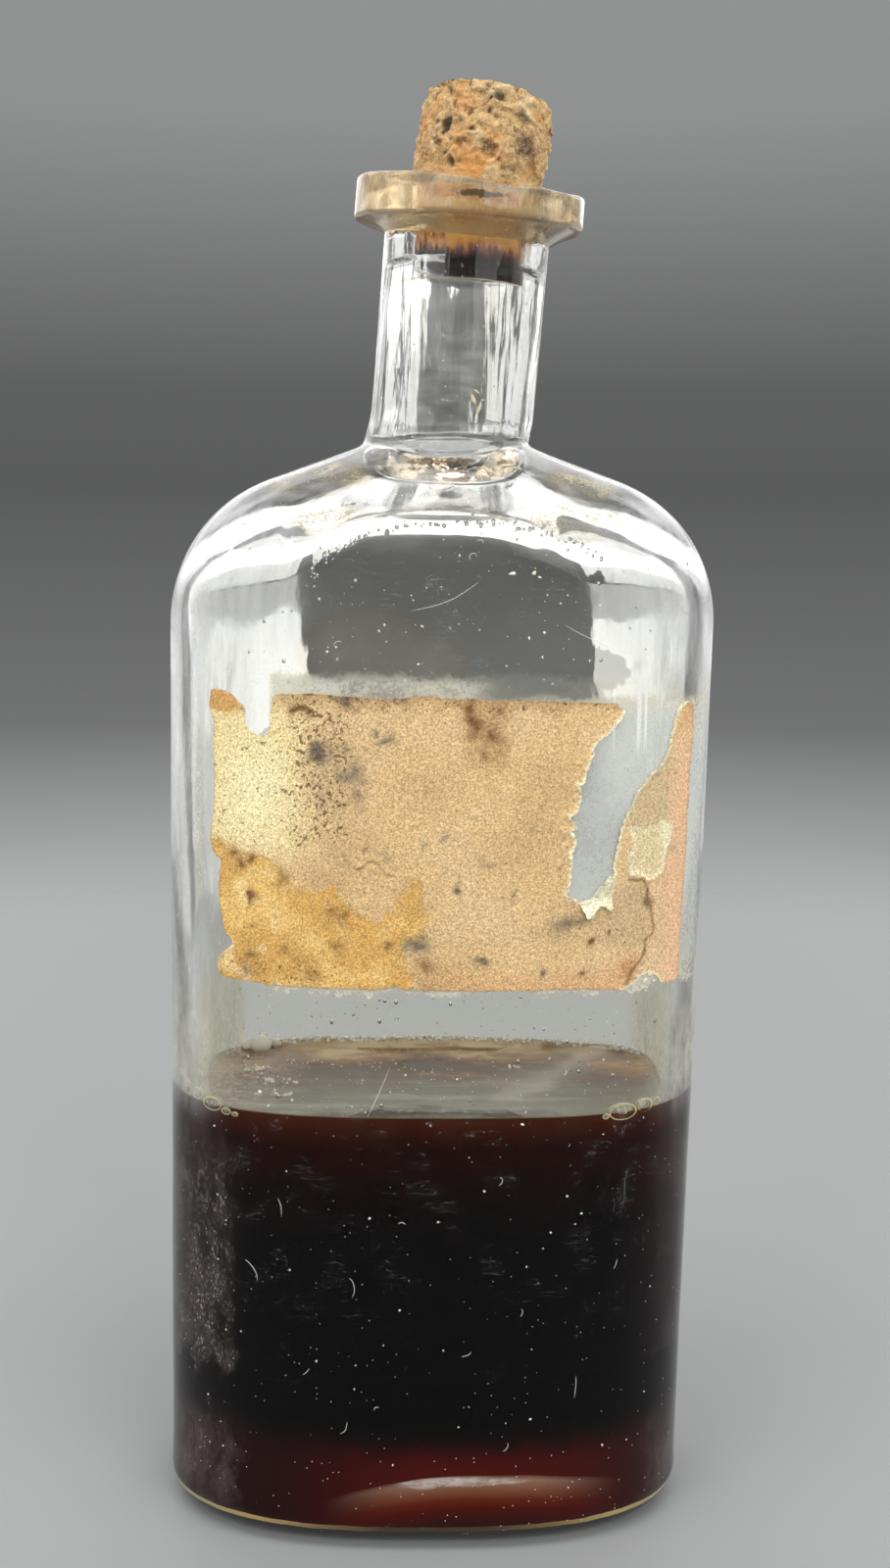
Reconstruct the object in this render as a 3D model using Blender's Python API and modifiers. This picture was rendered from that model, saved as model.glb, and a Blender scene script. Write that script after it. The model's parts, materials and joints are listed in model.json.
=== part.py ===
"""Old flat-oval apothecary bottle: blown glass with a leaning neck and a tooled lip, a tapered cork,
a torn paper label and the dark liquid left in it. Metres, +Z up, standing on z = 0."""

import math

import bmesh
import bpy
from mathutils import Matrix, Vector

# Body: a flat oval in plan, drawn as a superellipse, standing on a flat ring round a pushed-up base.
BODY_WIDTH = 0.0730
BODY_DEPTH = 0.0404
PLAN_SQUARENESS = 2.6
WALL_THICKNESS = 0.0029
FLOOR_THICKNESS = 0.0035
HEEL_RADIUS = 0.0045
REST_RING_WIDTH = 0.0025
PUSH_UP_HEIGHT = 0.0030
BODY_LEAN = math.radians(0.77)

# Shoulder: a large arc seen from the front, a smaller one seen from the side, both ending at the neck.
SIDE_SHOULDER_HEIGHT = 0.1240
SIDE_SHOULDER_RADIUS = 0.0200
FACE_SHOULDER_RADIUS = 0.0160
SHOULDER_SLOPE = math.radians(20.0)
NECK_FOOT_BLEND = 0.0012

# Neck: round, bent over to the right where it leaves the shoulder.
NECK_DIAMETER = 0.0219
NECK_LENGTH = 0.0266
NECK_LEAN = math.radians(4.4)
NECK_BEND_LENGTH = 0.0040
NECK_SIDE_STEP = 0.0006

# Lip: a tooled flange with a plain band, a bevel under it and rounded edges.
LIP_DIAMETER = 0.0302
LIP_BAND_HEIGHT = 0.0038
LIP_BEVEL_HEIGHT = 0.0029
LIP_EDGE_RADIUS = 0.0007

# Bore: straight in the neck, opening to a cone in the lip where the cork sits.
BORE_DIAMETER = 0.0146
MOUTH_DIAMETER = 0.0174
MOUTH_DEPTH = 0.0104
MOUTH_EDGE_RADIUS = 0.0004
MOUTH_LEAN = math.radians(8.7)

# Cork: a tapered stopper pushed in at a slight angle.
CORK_CLEARANCE = 0.0004
CORK_HEAD_DIAMETER = 0.0172
CORK_HEAD_HEIGHT = 0.0116
CORK_TOP_ROUNDING = 0.0016

# Liquid left in the bottle.
LIQUID_LEVEL = 0.0595
LIQUID_CLEARANCE = 0.0003

# Label: a paper sheet on the front, wrapping on to the rounded ends, with a long tear.
LABEL_LEFT_MARGIN = 0.0070
LABEL_RIGHT_MARGIN = 0.0039
LABEL_BOTTOM_HEIGHT = 0.0779
LABEL_HEIGHT = 0.0375
LABEL_THICKNESS = 0.0002
LABEL_CLEARANCE = 0.0003
TEAR_CUTTER_FRONT_OVERRUN = 0.0020

# Mesh fineness.
POINTS_ROUND = 60
SIDE_ARC_STEPS = 8
SLOPE_STEPS = 4
HEEL_STEPS = 4
LIP_EDGE_STEPS = 2
LABEL_COLUMNS = 36
LABEL_ROWS = 8
CORK_STEPS = 40
SHARP_EDGE_ANGLE = math.radians(40)

# Torn outlines across the label, as shares of its width from the left and of its height from the bottom.
CORNER_NOTCH_shares = [
    (0.036, 1.04), (0.039, 0.992), (0.074, 0.941), (0.087, 0.885), (0.101, 0.861), (0.119, 0.885),
    (0.127, 0.988), (0.130, 1.04),
]
LONG_TEAR_shares = [
    (0.842, 1.04), (0.820, 0.932), (0.786, 0.853), (0.760, 0.728), (0.740, 0.533), (0.739, 0.381),
    (0.726, 0.341), (0.770, 0.275), (0.821, 0.264), (0.826, 0.363), (0.826, 0.472), (0.853, 0.619),
    (0.870, 0.691), (0.897, 0.759), (0.926, 0.789), (0.948, 0.904), (0.965, 0.973), (0.972, 1.04),
]
LEFT_EDGE_shares = [
    (-0.04, 0.430), (0.010, 0.397), (0.021, 0.224), (0.024, 0.163), (0.043, 0.141), (0.021, 0.096),
    (0.013, 0.051), (0.032, 0.015), (0.098, 0.012), (0.100, -0.04), (-0.04, -0.04),
]
RIGHT_EDGE_shares = [
    (1.04, 0.500), (0.998, 0.460), (0.988, 0.350), (0.984, -0.04), (1.04, -0.04),
]
BOTTOM_NOTCH_shares = [
    (0.845, -0.04), (0.849, 0.003), (0.887, 0.019), (0.902, 0.077), (0.917, 0.025), (0.943, -0.04),
]

# Heights of plain rings up the straight stretches, as shares of the stretch.
BODY_RING_shares = (0.3, 0.65)
NECK_RING_shares = (0.12, 0.3, 0.6)
DOME_RING_shares = (0.25, 0.5, 0.75)

# Worked out from the sizes above.
NECK_RADIUS = NECK_DIAMETER / 2
BORE_RADIUS = BORE_DIAMETER / 2
MOUTH_RADIUS = MOUTH_DIAMETER / 2
LIP_RADIUS = LIP_DIAMETER / 2
SLOPE_START_ANGLE = math.pi / 2 - SHOULDER_SLOPE
LIP_HEIGHT = LIP_BEVEL_HEIGHT + LIP_BAND_HEIGHT
LABEL_LEFT_REACH = BODY_WIDTH / 2 - LABEL_LEFT_MARGIN
LABEL_RIGHT_REACH = BODY_WIDTH / 2 - LABEL_RIGHT_MARGIN


def slope_start(radius):
    """Half width and height at which the side arc of this radius turns into the straight slope."""
    half = BODY_WIDTH / 2 - SIDE_SHOULDER_RADIUS + radius * math.cos(SLOPE_START_ANGLE)
    return half, SIDE_SHOULDER_HEIGHT + radius * math.sin(SLOPE_START_ANGLE)


def foot_height(radius, throat_radius):
    """Height at which the straight slope comes down to the throat's radius."""
    half, height = slope_start(radius)
    return height + (half - throat_radius) * math.tan(SHOULDER_SLOPE)


NECK_FOOT_HEIGHT = foot_height(SIDE_SHOULDER_RADIUS, NECK_RADIUS)
FACE_ARC_OFFSET = BODY_DEPTH / 2 - FACE_SHOULDER_RADIUS
FACE_SHOULDER_RISE = math.sqrt(FACE_SHOULDER_RADIUS ** 2 - (NECK_RADIUS - FACE_ARC_OFFSET) ** 2)
FACE_SHOULDER_HEIGHT = NECK_FOOT_HEIGHT - FACE_SHOULDER_RISE
LIP_TOP_STATION = NECK_FOOT_HEIGHT + NECK_LENGTH + LIP_HEIGHT
MOUTH_FOOT_STATION = LIP_TOP_STATION - MOUTH_DEPTH

# The bounding box's middle is put at x = 0 and y = 0: the lean and the label would shift it.
BASE_X = -math.tan(BODY_LEAN) * SIDE_SHOULDER_HEIGHT / 2
BASE_Y = (LABEL_CLEARANCE + LABEL_THICKNESS) / 2


def blend_above(value, floor):
    """The larger of the two, rounded off where they cross."""
    difference = value - floor
    return floor + (difference + math.hypot(difference, NECK_FOOT_BLEND)) / 2


def side_half_width(height, inset, throat_radius):
    """Half width of the shoulder at a height, inset from the outer surface."""
    radius = SIDE_SHOULDER_RADIUS - inset
    rise = max(0.0, height - SIDE_SHOULDER_HEIGHT)
    start_half, start_height = slope_start(radius)
    if height <= start_height:
        half = BODY_WIDTH / 2 - SIDE_SHOULDER_RADIUS + math.sqrt(radius ** 2 - rise ** 2)
    else:
        half = start_half - (height - start_height) / math.tan(SHOULDER_SLOPE)
    return blend_above(half, throat_radius)


def face_half_depth(height, inset, throat_radius):
    """Half depth of the shoulder at a height, inset from the outer surface."""
    radius = FACE_SHOULDER_RADIUS - inset
    rise = min(radius, max(0.0, height - FACE_SHOULDER_HEIGHT))
    half = FACE_ARC_OFFSET + math.sqrt(radius ** 2 - rise ** 2)
    return blend_above(half, throat_radius)


def squareness_at(height):
    """Exponent of the plan: square-shouldered in the body, round at the neck."""
    rise = (height - SIDE_SHOULDER_HEIGHT) / (NECK_FOOT_HEIGHT - SIDE_SHOULDER_HEIGHT)
    share = min(1.0, max(0.0, rise))
    return PLAN_SQUARENESS + (2 - PLAN_SQUARENESS) * share ** 2


def body_centre(height):
    """Middle of the leaning body at a height."""
    return Vector((BASE_X + math.tan(BODY_LEAN) * height, BASE_Y, height))


def neck_frame(station):
    """Centre and tilt at a station, a distance measured up the middle of the bottle."""
    if station <= NECK_FOOT_HEIGHT:
        return body_centre(station), 0.0
    run = station - NECK_FOOT_HEIGHT
    turned = min(run, NECK_BEND_LENGTH)
    share = turned / NECK_BEND_LENGTH
    tilt = NECK_LEAN * share
    bend_radius = NECK_BEND_LENGTH / NECK_LEAN
    side_step = NECK_SIDE_STEP * share ** 2 * (3 - 2 * share)
    centre = body_centre(NECK_FOOT_HEIGHT)
    centre.x += bend_radius * (1 - math.cos(tilt)) + side_step + (run - turned) * math.sin(tilt)
    centre.z += bend_radius * math.sin(tilt) + (run - turned) * math.cos(tilt)
    return centre, tilt


def mouth_frame(distance):
    """Centre of the leaning mouth cone, at a distance up its own axis from its foot."""
    centre = neck_frame(MOUTH_FOOT_STATION)[0]
    direction = Vector((math.sin(MOUTH_LEAN), 0, math.cos(MOUTH_LEAN)))
    return centre + direction * distance


def mouth_radius(distance):
    """Radius of the mouth cone at a distance up its axis."""
    return BORE_RADIUS + (MOUTH_RADIUS - BORE_RADIUS) * distance / MOUTH_DEPTH


def oval_ring(centre, tilt, half_width, half_depth, squareness):
    """Points round a superellipse about a centre, tilted over to the right."""
    turn = Matrix.Rotation(tilt, 3, "Y")
    points = []
    for index in range(POINTS_ROUND):
        angle = 2 * math.pi * index / POINTS_ROUND
        across = math.copysign(abs(math.cos(angle)) ** (2 / squareness), math.cos(angle))
        deep = math.copysign(abs(math.sin(angle)) ** (2 / squareness), math.sin(angle))
        points.append(centre + turn @ Vector((half_width * across, half_depth * deep, 0)))
    return points


def body_ring(height, half_width, half_depth):
    """A level ring of the body."""
    return oval_ring(body_centre(height), 0.0, half_width, half_depth, squareness_at(height))


def neck_ring(station, radius):
    """A round ring square to the neck."""
    centre, tilt = neck_frame(station)
    return oval_ring(centre, tilt, radius, radius, 2)


def shoulder_rings(inset, throat_radius):
    """Rings up the shoulder and over the bend at the neck's foot."""
    radius = SIDE_SHOULDER_RADIUS - inset
    heights = []
    for step in range(SIDE_ARC_STEPS + 1):
        angle = SLOPE_START_ANGLE * step / SIDE_ARC_STEPS
        heights.append(SIDE_SHOULDER_HEIGHT + radius * math.sin(angle))
    start = heights[-1]
    foot = foot_height(radius, throat_radius)
    for step in range(1, SLOPE_STEPS + 1):
        heights.append(start + (foot - start) * step / SLOPE_STEPS)
    heights.append(foot + NECK_FOOT_BLEND / 2)
    heights.append(foot + NECK_FOOT_BLEND * 3 / 2)
    rings = []
    for height in heights:
        half_width = side_half_width(height, inset, throat_radius)
        half_depth = face_half_depth(height, inset, throat_radius)
        centre, tilt = neck_frame(height)
        rings.append(oval_ring(centre, tilt, half_width, half_depth, squareness_at(height)))
    return rings


def between(low, high, shares):
    """Values between two, at the given shares of the way."""
    return [low + (high - low) * share for share in shares]


def underside_rings():
    """Rings from the middle of the push-up out to the flat ring that the bottle stands on."""
    edge_width = BODY_WIDTH / 2 - HEEL_RADIUS - REST_RING_WIDTH
    edge_depth = BODY_DEPTH / 2 - HEEL_RADIUS - REST_RING_WIDTH
    rings = []
    for share in DOME_RING_shares:
        height = PUSH_UP_HEIGHT * math.cos(math.pi / 2 * share) ** 2
        rings.append(body_ring(height, edge_width * share, edge_depth * share))
    rings.append(body_ring(0.0, edge_width, edge_depth))
    rings.append(body_ring(0.0, edge_width + REST_RING_WIDTH, edge_depth + REST_RING_WIDTH))
    return rings


def heel_rings(inset, floor_height, heel_radius):
    """Rings round the heel, from the floor's edge up to the wall, without the floor's edge itself."""
    rings = []
    for step in range(1, HEEL_STEPS + 1):
        angle = math.pi / 2 * step / HEEL_STEPS
        tuck = inset + heel_radius * (1 - math.sin(angle))
        height = floor_height + heel_radius * (1 - math.cos(angle))
        rings.append(body_ring(height, BODY_WIDTH / 2 - tuck, BODY_DEPTH / 2 - tuck))
    return rings


def inner_floor_rings(inset, floor_height):
    """Rings from the middle of the raised inner floor out to its edge."""
    edge_width = BODY_WIDTH / 2 - inset - HEEL_RADIUS
    edge_depth = BODY_DEPTH / 2 - inset - HEEL_RADIUS
    rings = []
    for share in DOME_RING_shares + (1.0,):
        height = floor_height + PUSH_UP_HEIGHT * math.cos(math.pi / 2 * share) ** 2
        rings.append(body_ring(height, edge_width * share, edge_depth * share))
    return rings


def lip_rings():
    """Outer rings of the lip, from its underside over the band to the mouth's edge."""
    bottom = LIP_TOP_STATION - LIP_HEIGHT
    band_bottom = bottom + LIP_BEVEL_HEIGHT
    rings = [neck_ring(bottom, NECK_RADIUS)]
    for step in range(LIP_EDGE_STEPS + 1):
        tuck = LIP_EDGE_RADIUS * (1 - step / LIP_EDGE_STEPS)
        rings.append(neck_ring(band_bottom - tuck, LIP_RADIUS - tuck))
    for step in range(LIP_EDGE_STEPS + 1):
        angle = math.pi / 2 * step / LIP_EDGE_STEPS
        station = LIP_TOP_STATION - LIP_EDGE_RADIUS * (1 - math.sin(angle))
        rings.append(neck_ring(station, LIP_RADIUS - LIP_EDGE_RADIUS * (1 - math.cos(angle))))
    return rings


def mouth_rings():
    """Inner rings from the mouth's edge down its cone to the straight bore."""
    rings = []
    edge_depth = MOUTH_EDGE_RADIUS * 2
    for depth, flare in ((0.0, MOUTH_EDGE_RADIUS), (MOUTH_EDGE_RADIUS / 2, MOUTH_EDGE_RADIUS / 4)):
        distance = MOUTH_DEPTH - depth
        centre = mouth_frame(distance)
        radius = mouth_radius(distance) + flare
        rings.append(oval_ring(centre, NECK_LEAN, radius, radius, 2))
    for distance in (MOUTH_DEPTH - edge_depth, MOUTH_DEPTH / 2, 0.0):
        centre = mouth_frame(distance)
        rings.append(oval_ring(centre, NECK_LEAN, mouth_radius(distance), mouth_radius(distance), 2))
    return rings


def loft(name, start, rings, end):
    """A closed solid through the rings in order, with a fan on to a point at each end."""
    mesh = bpy.data.meshes.new(name)
    shape = bmesh.new()
    start_vert = shape.verts.new(start)
    ring_verts = [[shape.verts.new(point) for point in ring] for ring in rings]
    end_vert = shape.verts.new(end)
    for index in range(POINTS_ROUND):
        after = (index + 1) % POINTS_ROUND
        shape.faces.new((start_vert, ring_verts[0][after], ring_verts[0][index]))
        shape.faces.new((end_vert, ring_verts[-1][index], ring_verts[-1][after]))
        for low, high in zip(ring_verts, ring_verts[1:]):
            shape.faces.new((low[index], low[after], high[after], high[index]))
    shape.to_mesh(mesh)
    shape.free()
    return mesh


def glass_mesh():
    """The whole blown bottle: outer surface up to the lip, then down the bore to the inner floor."""
    straight_heights = between(HEEL_RADIUS, SIDE_SHOULDER_HEIGHT, BODY_RING_shares)
    half_width = BODY_WIDTH / 2
    half_depth = BODY_DEPTH / 2
    neck_end = LIP_TOP_STATION - LIP_HEIGHT
    neck_start = NECK_FOOT_HEIGHT + NECK_FOOT_BLEND * 3 / 2
    outer = underside_rings() + heel_rings(0.0, 0.0, HEEL_RADIUS)
    outer += [body_ring(height, half_width, half_depth) for height in straight_heights]
    outer += shoulder_rings(0.0, NECK_RADIUS)
    for station in between(neck_start, neck_end, NECK_RING_shares):
        outer.append(neck_ring(station, NECK_RADIUS))
    outer += lip_rings()

    inner_half_width = half_width - WALL_THICKNESS
    inner_half_depth = half_depth - WALL_THICKNESS
    inner = inner_floor_rings(WALL_THICKNESS, FLOOR_THICKNESS)
    inner += heel_rings(WALL_THICKNESS, FLOOR_THICKNESS, HEEL_RADIUS)
    inner += [body_ring(height, inner_half_width, inner_half_depth) for height in straight_heights]
    inner += shoulder_rings(WALL_THICKNESS, BORE_RADIUS)
    bore_start = foot_height(SIDE_SHOULDER_RADIUS - WALL_THICKNESS, BORE_RADIUS) + NECK_FOOT_BLEND * 3 / 2
    for station in between(bore_start, MOUTH_FOOT_STATION, NECK_RING_shares):
        inner.append(neck_ring(station, BORE_RADIUS))
    inner += reversed(mouth_rings())

    rings = outer + list(reversed(inner))
    underside_middle = body_centre(PUSH_UP_HEIGHT)
    floor_middle = body_centre(FLOOR_THICKNESS + PUSH_UP_HEIGHT)
    return loft("glass_bottle", underside_middle, rings, floor_middle)


def liquid_mesh():
    """The liquid: the inside of the bottle up to its level, a little clear of the glass."""
    inset = WALL_THICKNESS + LIQUID_CLEARANCE
    floor_height = FLOOR_THICKNESS + LIQUID_CLEARANCE
    half_width = BODY_WIDTH / 2 - inset
    half_depth = BODY_DEPTH / 2 - inset
    rings = inner_floor_rings(inset, floor_height)
    rings += heel_rings(inset, floor_height, HEEL_RADIUS)
    for height in between(HEEL_RADIUS + floor_height, LIQUID_LEVEL, BODY_RING_shares + (1.0,)):
        rings.append(body_ring(height, half_width, half_depth))
    floor_middle = body_centre(floor_height + PUSH_UP_HEIGHT)
    return loft("liquid", floor_middle, rings, body_centre(LIQUID_LEVEL))


def cork_profile():
    """Half outline of the cork on its own axis, from the foot up to the top, at +X."""
    foot_radius = mouth_radius(0.0) - CORK_CLEARANCE
    seat_radius = mouth_radius(MOUTH_DEPTH) - CORK_CLEARANCE
    top = MOUTH_DEPTH + CORK_HEAD_HEIGHT
    head_radius = CORK_HEAD_DIAMETER / 2
    return [
        (0.0, 0.0),
        (foot_radius - CORK_CLEARANCE, 0.0),
        (foot_radius, CORK_CLEARANCE),
        (seat_radius, MOUTH_DEPTH),
        (head_radius, top - 2 * CORK_TOP_ROUNDING),
        (head_radius - CORK_TOP_ROUNDING / 3, top - CORK_TOP_ROUNDING),
        (head_radius - CORK_TOP_ROUNDING, top),
        (0.0, top),
    ]


def label_point(across_share, up_share, lift):
    """A point of the label sheet, lifted off the glass along the front surface's normal."""
    width = LABEL_LEFT_REACH + LABEL_RIGHT_REACH
    across = -LABEL_LEFT_REACH + width * across_share
    height = LABEL_BOTTOM_HEIGHT + LABEL_HEIGHT * up_share
    half_width = BODY_WIDTH / 2
    half_depth = BODY_DEPTH / 2
    reach = 1 - abs(across / half_width) ** PLAN_SQUARENESS
    deep = -half_depth * reach ** (1 / PLAN_SQUARENESS)
    slope_x = math.copysign(abs(across / half_width) ** (PLAN_SQUARENESS - 1), across) / half_width
    slope_y = -abs(deep / half_depth) ** (PLAN_SQUARENESS - 1) / half_depth
    normal = Vector((slope_x, slope_y, 0)).normalized()
    return body_centre(height) + Vector((across, deep, 0)) + normal * lift


def label_sheet():
    """The label before it was torn: a sheet that follows the curved front, with its thickness."""
    mesh = bpy.data.meshes.new("paper_label")
    shape = bmesh.new()
    lift = LABEL_CLEARANCE
    grid = []
    for row in range(LABEL_ROWS + 1):
        up_share = row / LABEL_ROWS
        line = [label_point(column / LABEL_COLUMNS, up_share, lift) for column in range(LABEL_COLUMNS + 1)]
        grid.append([shape.verts.new(point) for point in line])
    for low, high in zip(grid, grid[1:]):
        for column in range(LABEL_COLUMNS):
            shape.faces.new((low[column], low[column + 1], high[column + 1], high[column]))
    shape.to_mesh(mesh)
    shape.free()
    return mesh


def tear_cutter(name, outline_shares, collection):
    """A flat prism through the label's front, with a torn outline."""
    width = LABEL_LEFT_REACH + LABEL_RIGHT_REACH
    front = -BODY_DEPTH / 2 - LABEL_CLEARANCE - LABEL_THICKNESS - TEAR_CUTTER_FRONT_OVERRUN
    shape = bmesh.new()
    outline = []
    for across_share, up_share in outline_shares:
        centre = body_centre(LABEL_BOTTOM_HEIGHT + LABEL_HEIGHT * up_share)
        across = -LABEL_LEFT_REACH + width * across_share
        outline.append(shape.verts.new(centre + Vector((across, front, 0))))
    face = shape.faces.new(outline)
    result = bmesh.ops.extrude_face_region(shape, geom=[face])
    pushed = [item for item in result["geom"] if isinstance(item, bmesh.types.BMVert)]
    bmesh.ops.translate(shape, verts=pushed, vec=Vector((0, -front, 0)))
    bmesh.ops.recalc_face_normals(shape, faces=shape.faces)
    mesh = bpy.data.meshes.new(name)
    shape.to_mesh(mesh)
    shape.free()
    cutter = bpy.data.objects.new(name, mesh)
    cutter.hide_render = True
    cutter.display_type = "WIRE"
    collection.objects.link(cutter)
    return cutter


def surface_material(name, colour, roughness, transmission=0.0):
    """A plain Principled material."""
    material = bpy.data.materials.new(name)
    material.use_nodes = True
    shader = material.node_tree.nodes["Principled BSDF"]
    shader.inputs["Base Color"].default_value = (*colour, 1.0)
    shader.inputs["Roughness"].default_value = roughness
    shader.inputs["Metallic"].default_value = 0.0
    shader.inputs["Transmission Weight"].default_value = transmission
    material.diffuse_color = (*colour, 1.0)
    return material


def place(name, mesh, material, collection):
    """Put a mesh in the scene as an object of the same name."""
    thing = bpy.data.objects.new(name, mesh)
    mesh.materials.append(material)
    mesh.shade_smooth()
    mesh.set_sharp_from_angle(angle=SHARP_EDGE_ANGLE)
    collection.objects.link(thing)
    return thing


def build_cork(collection):
    """The cork, turned on its own axis; its origin is on the axis that it pulls out along."""
    mesh = bpy.data.meshes.new("cork_stopper")
    profile = [(radius, 0.0, height) for radius, height in reversed(cork_profile())]
    edges = [(index, index + 1) for index in range(len(profile) - 1)]
    mesh.from_pydata(profile, edges, [])
    material = surface_material("cork", (0.48, 0.33, 0.19), 0.9)
    cork = place("cork_stopper", mesh, material, collection)
    cork.location = mouth_frame(0.0)
    cork.rotation_euler = (0, MOUTH_LEAN, 0)
    turn = cork.modifiers.new("turn", "SCREW")
    turn.axis = "Z"
    turn.steps = CORK_STEPS
    turn.render_steps = CORK_STEPS
    turn.use_merge_vertices = True
    turn.merge_threshold = CORK_CLEARANCE / 100
    turn.use_smooth_shade = True
    return cork


def build_label(collection, cutters):
    """The torn label."""
    material = surface_material("label_paper", (0.56, 0.42, 0.26), 0.85)
    label = place("paper_label", label_sheet(), material, collection)
    thicken = label.modifiers.new("thickness", "SOLIDIFY")
    thicken.thickness = LABEL_THICKNESS
    thicken.offset = 1.0
    thicken.use_even_offset = True
    tears = {
        "corner_notch": CORNER_NOTCH_shares,
        "long_tear": LONG_TEAR_shares,
        "left_edge": LEFT_EDGE_shares,
        "right_edge": RIGHT_EDGE_shares,
        "bottom_notch": BOTTOM_NOTCH_shares,
    }
    for name, outline_shares in tears.items():
        cut = label.modifiers.new(name, "BOOLEAN")
        cut.operation = "DIFFERENCE"
        cut.solver = "EXACT"
        cut.object = tear_cutter(name, outline_shares, cutters)
    return label


def main():
    for thing in list(bpy.data.objects):
        bpy.data.objects.remove(thing)
    parts = bpy.data.collections.new("apothecary_bottle")
    cutters = bpy.data.collections.new("tear_cutters")
    bpy.context.scene.collection.children.link(parts)
    bpy.context.scene.collection.children.link(cutters)
    glass = surface_material("glass", (0.90, 0.92, 0.88), 0.05, transmission=1.0)
    place("glass_bottle", glass_mesh(), glass, parts)
    dark = surface_material("liquid", (0.06, 0.012, 0.004), 0.02, transmission=0.6)
    place("liquid", liquid_mesh(), dark, parts)
    build_cork(parts)
    build_label(parts, cutters)


main()
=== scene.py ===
"""Looks of an old flat-oval apothecary bottle: wavy blown glass, a crumbling cork, a torn and foxed
paper label, glue and dirt on the glass, and dark tincture inside. Metres, +Z up, in the model's frame."""

import json
import math

import bpy
import numpy as np
from mathutils import Matrix, Vector, noise

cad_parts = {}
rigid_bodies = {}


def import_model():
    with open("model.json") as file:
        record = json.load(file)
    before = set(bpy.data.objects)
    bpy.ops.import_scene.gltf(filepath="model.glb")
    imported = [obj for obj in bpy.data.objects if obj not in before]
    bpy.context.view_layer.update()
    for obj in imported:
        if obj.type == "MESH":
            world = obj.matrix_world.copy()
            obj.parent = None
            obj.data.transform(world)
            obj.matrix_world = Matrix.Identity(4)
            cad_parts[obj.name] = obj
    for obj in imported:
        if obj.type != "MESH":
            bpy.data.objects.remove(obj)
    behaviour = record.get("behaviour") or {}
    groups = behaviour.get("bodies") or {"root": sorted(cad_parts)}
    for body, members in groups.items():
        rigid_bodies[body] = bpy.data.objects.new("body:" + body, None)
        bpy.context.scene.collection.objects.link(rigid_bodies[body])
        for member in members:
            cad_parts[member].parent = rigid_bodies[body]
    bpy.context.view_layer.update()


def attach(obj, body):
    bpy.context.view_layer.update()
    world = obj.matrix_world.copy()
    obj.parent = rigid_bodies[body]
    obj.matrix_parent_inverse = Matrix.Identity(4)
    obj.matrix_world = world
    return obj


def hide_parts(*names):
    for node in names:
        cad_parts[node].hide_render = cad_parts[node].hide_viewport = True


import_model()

MM = 0.001

# Sizes of the solid model, in metres.
BODY_WIDTH = 0.0730
BODY_DEPTH = 0.0404
PLAN_SQUARENESS = 2.6
WALL_THICKNESS = 0.0029
FLOOR_THICKNESS = 0.0035
HEEL_RADIUS = 0.0045
REST_RING_WIDTH = 0.0025
PUSH_UP_HEIGHT = 0.0030
BODY_LEAN = math.radians(0.77)
SIDE_SHOULDER_HEIGHT = 0.1240
SIDE_SHOULDER_RADIUS = 0.0200
FACE_SHOULDER_RADIUS = 0.0160
SHOULDER_SLOPE = math.radians(20.0)
NECK_FOOT_BLEND = 0.0012
NECK_RADIUS = 0.0219 / 2
NECK_LENGTH = 0.0266
NECK_LEAN = math.radians(4.4)
NECK_BEND_LENGTH = 0.0040
NECK_SIDE_STEP = 0.0006
LIP_RADIUS = 0.0302 / 2
LIP_BAND_HEIGHT = 0.0038
LIP_BEVEL_HEIGHT = 0.0029
LIP_EDGE_RADIUS = 0.0007
BORE_RADIUS = 0.0146 / 2
MOUTH_RADIUS = 0.0174 / 2
MOUTH_DEPTH = 0.0104
MOUTH_EDGE_RADIUS = 0.0004
MOUTH_LEAN = math.radians(8.7)
CORK_CLEARANCE = 0.0004
CORK_HEAD_HEIGHT = 0.0116
LIQUID_LEVEL = 0.0595
LABEL_CLEARANCE = 0.0003
LABEL_THICKNESS = 0.0002

LIP_HEIGHT = LIP_BEVEL_HEIGHT + LIP_BAND_HEIGHT
SLOPE_START_ANGLE = math.pi / 2 - SHOULDER_SLOPE
BASE_X = -math.tan(BODY_LEAN) * SIDE_SHOULDER_HEIGHT / 2
BASE_Y = (LABEL_CLEARANCE + LABEL_THICKNESS) / 2

# The inside of a blown bottle is rounder than its mould, so the corners are thick.
INNER_SQUARENESS = 3.05
SHOULDER_SQUARENESS = 2.15
SHOULDER_SINK = 0.0026
ROUND = 224

# The liquid overlaps the glass a little and climbs it.
WET_TOP = LIQUID_LEVEL + 0.60 * MM
LIQUID_OVERLAP = 0.12 * MM
# The climbing edge: how far in from the wall and how high over the level, in millimetres.
MENISCUS = [(0.0, 0.60), (0.10, 0.56), (0.22, 0.46), (0.45, 0.32), (0.8, 0.19), (1.4, 0.08), (2.2, 0.02),
            (4.0, 0.0)]


def slope_start(radius):
    half = BODY_WIDTH / 2 - SIDE_SHOULDER_RADIUS + radius * math.cos(SLOPE_START_ANGLE)
    return half, SIDE_SHOULDER_HEIGHT + radius * math.sin(SLOPE_START_ANGLE)


def foot_height(radius, throat):
    half, height = slope_start(radius)
    return height + (half - throat) * math.tan(SHOULDER_SLOPE)


NECK_FOOT = foot_height(SIDE_SHOULDER_RADIUS, NECK_RADIUS)
FACE_OFFSET = BODY_DEPTH / 2 - FACE_SHOULDER_RADIUS
FACE_SHOULDER_HEIGHT = NECK_FOOT - math.sqrt(FACE_SHOULDER_RADIUS ** 2 - (NECK_RADIUS - FACE_OFFSET) ** 2)
LIP_TOP = NECK_FOOT + NECK_LENGTH + LIP_HEIGHT
MOUTH_FOOT = LIP_TOP - MOUTH_DEPTH


def blend_above(value, floor):
    difference = value - floor
    return floor + (difference + math.hypot(difference, NECK_FOOT_BLEND)) / 2


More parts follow.
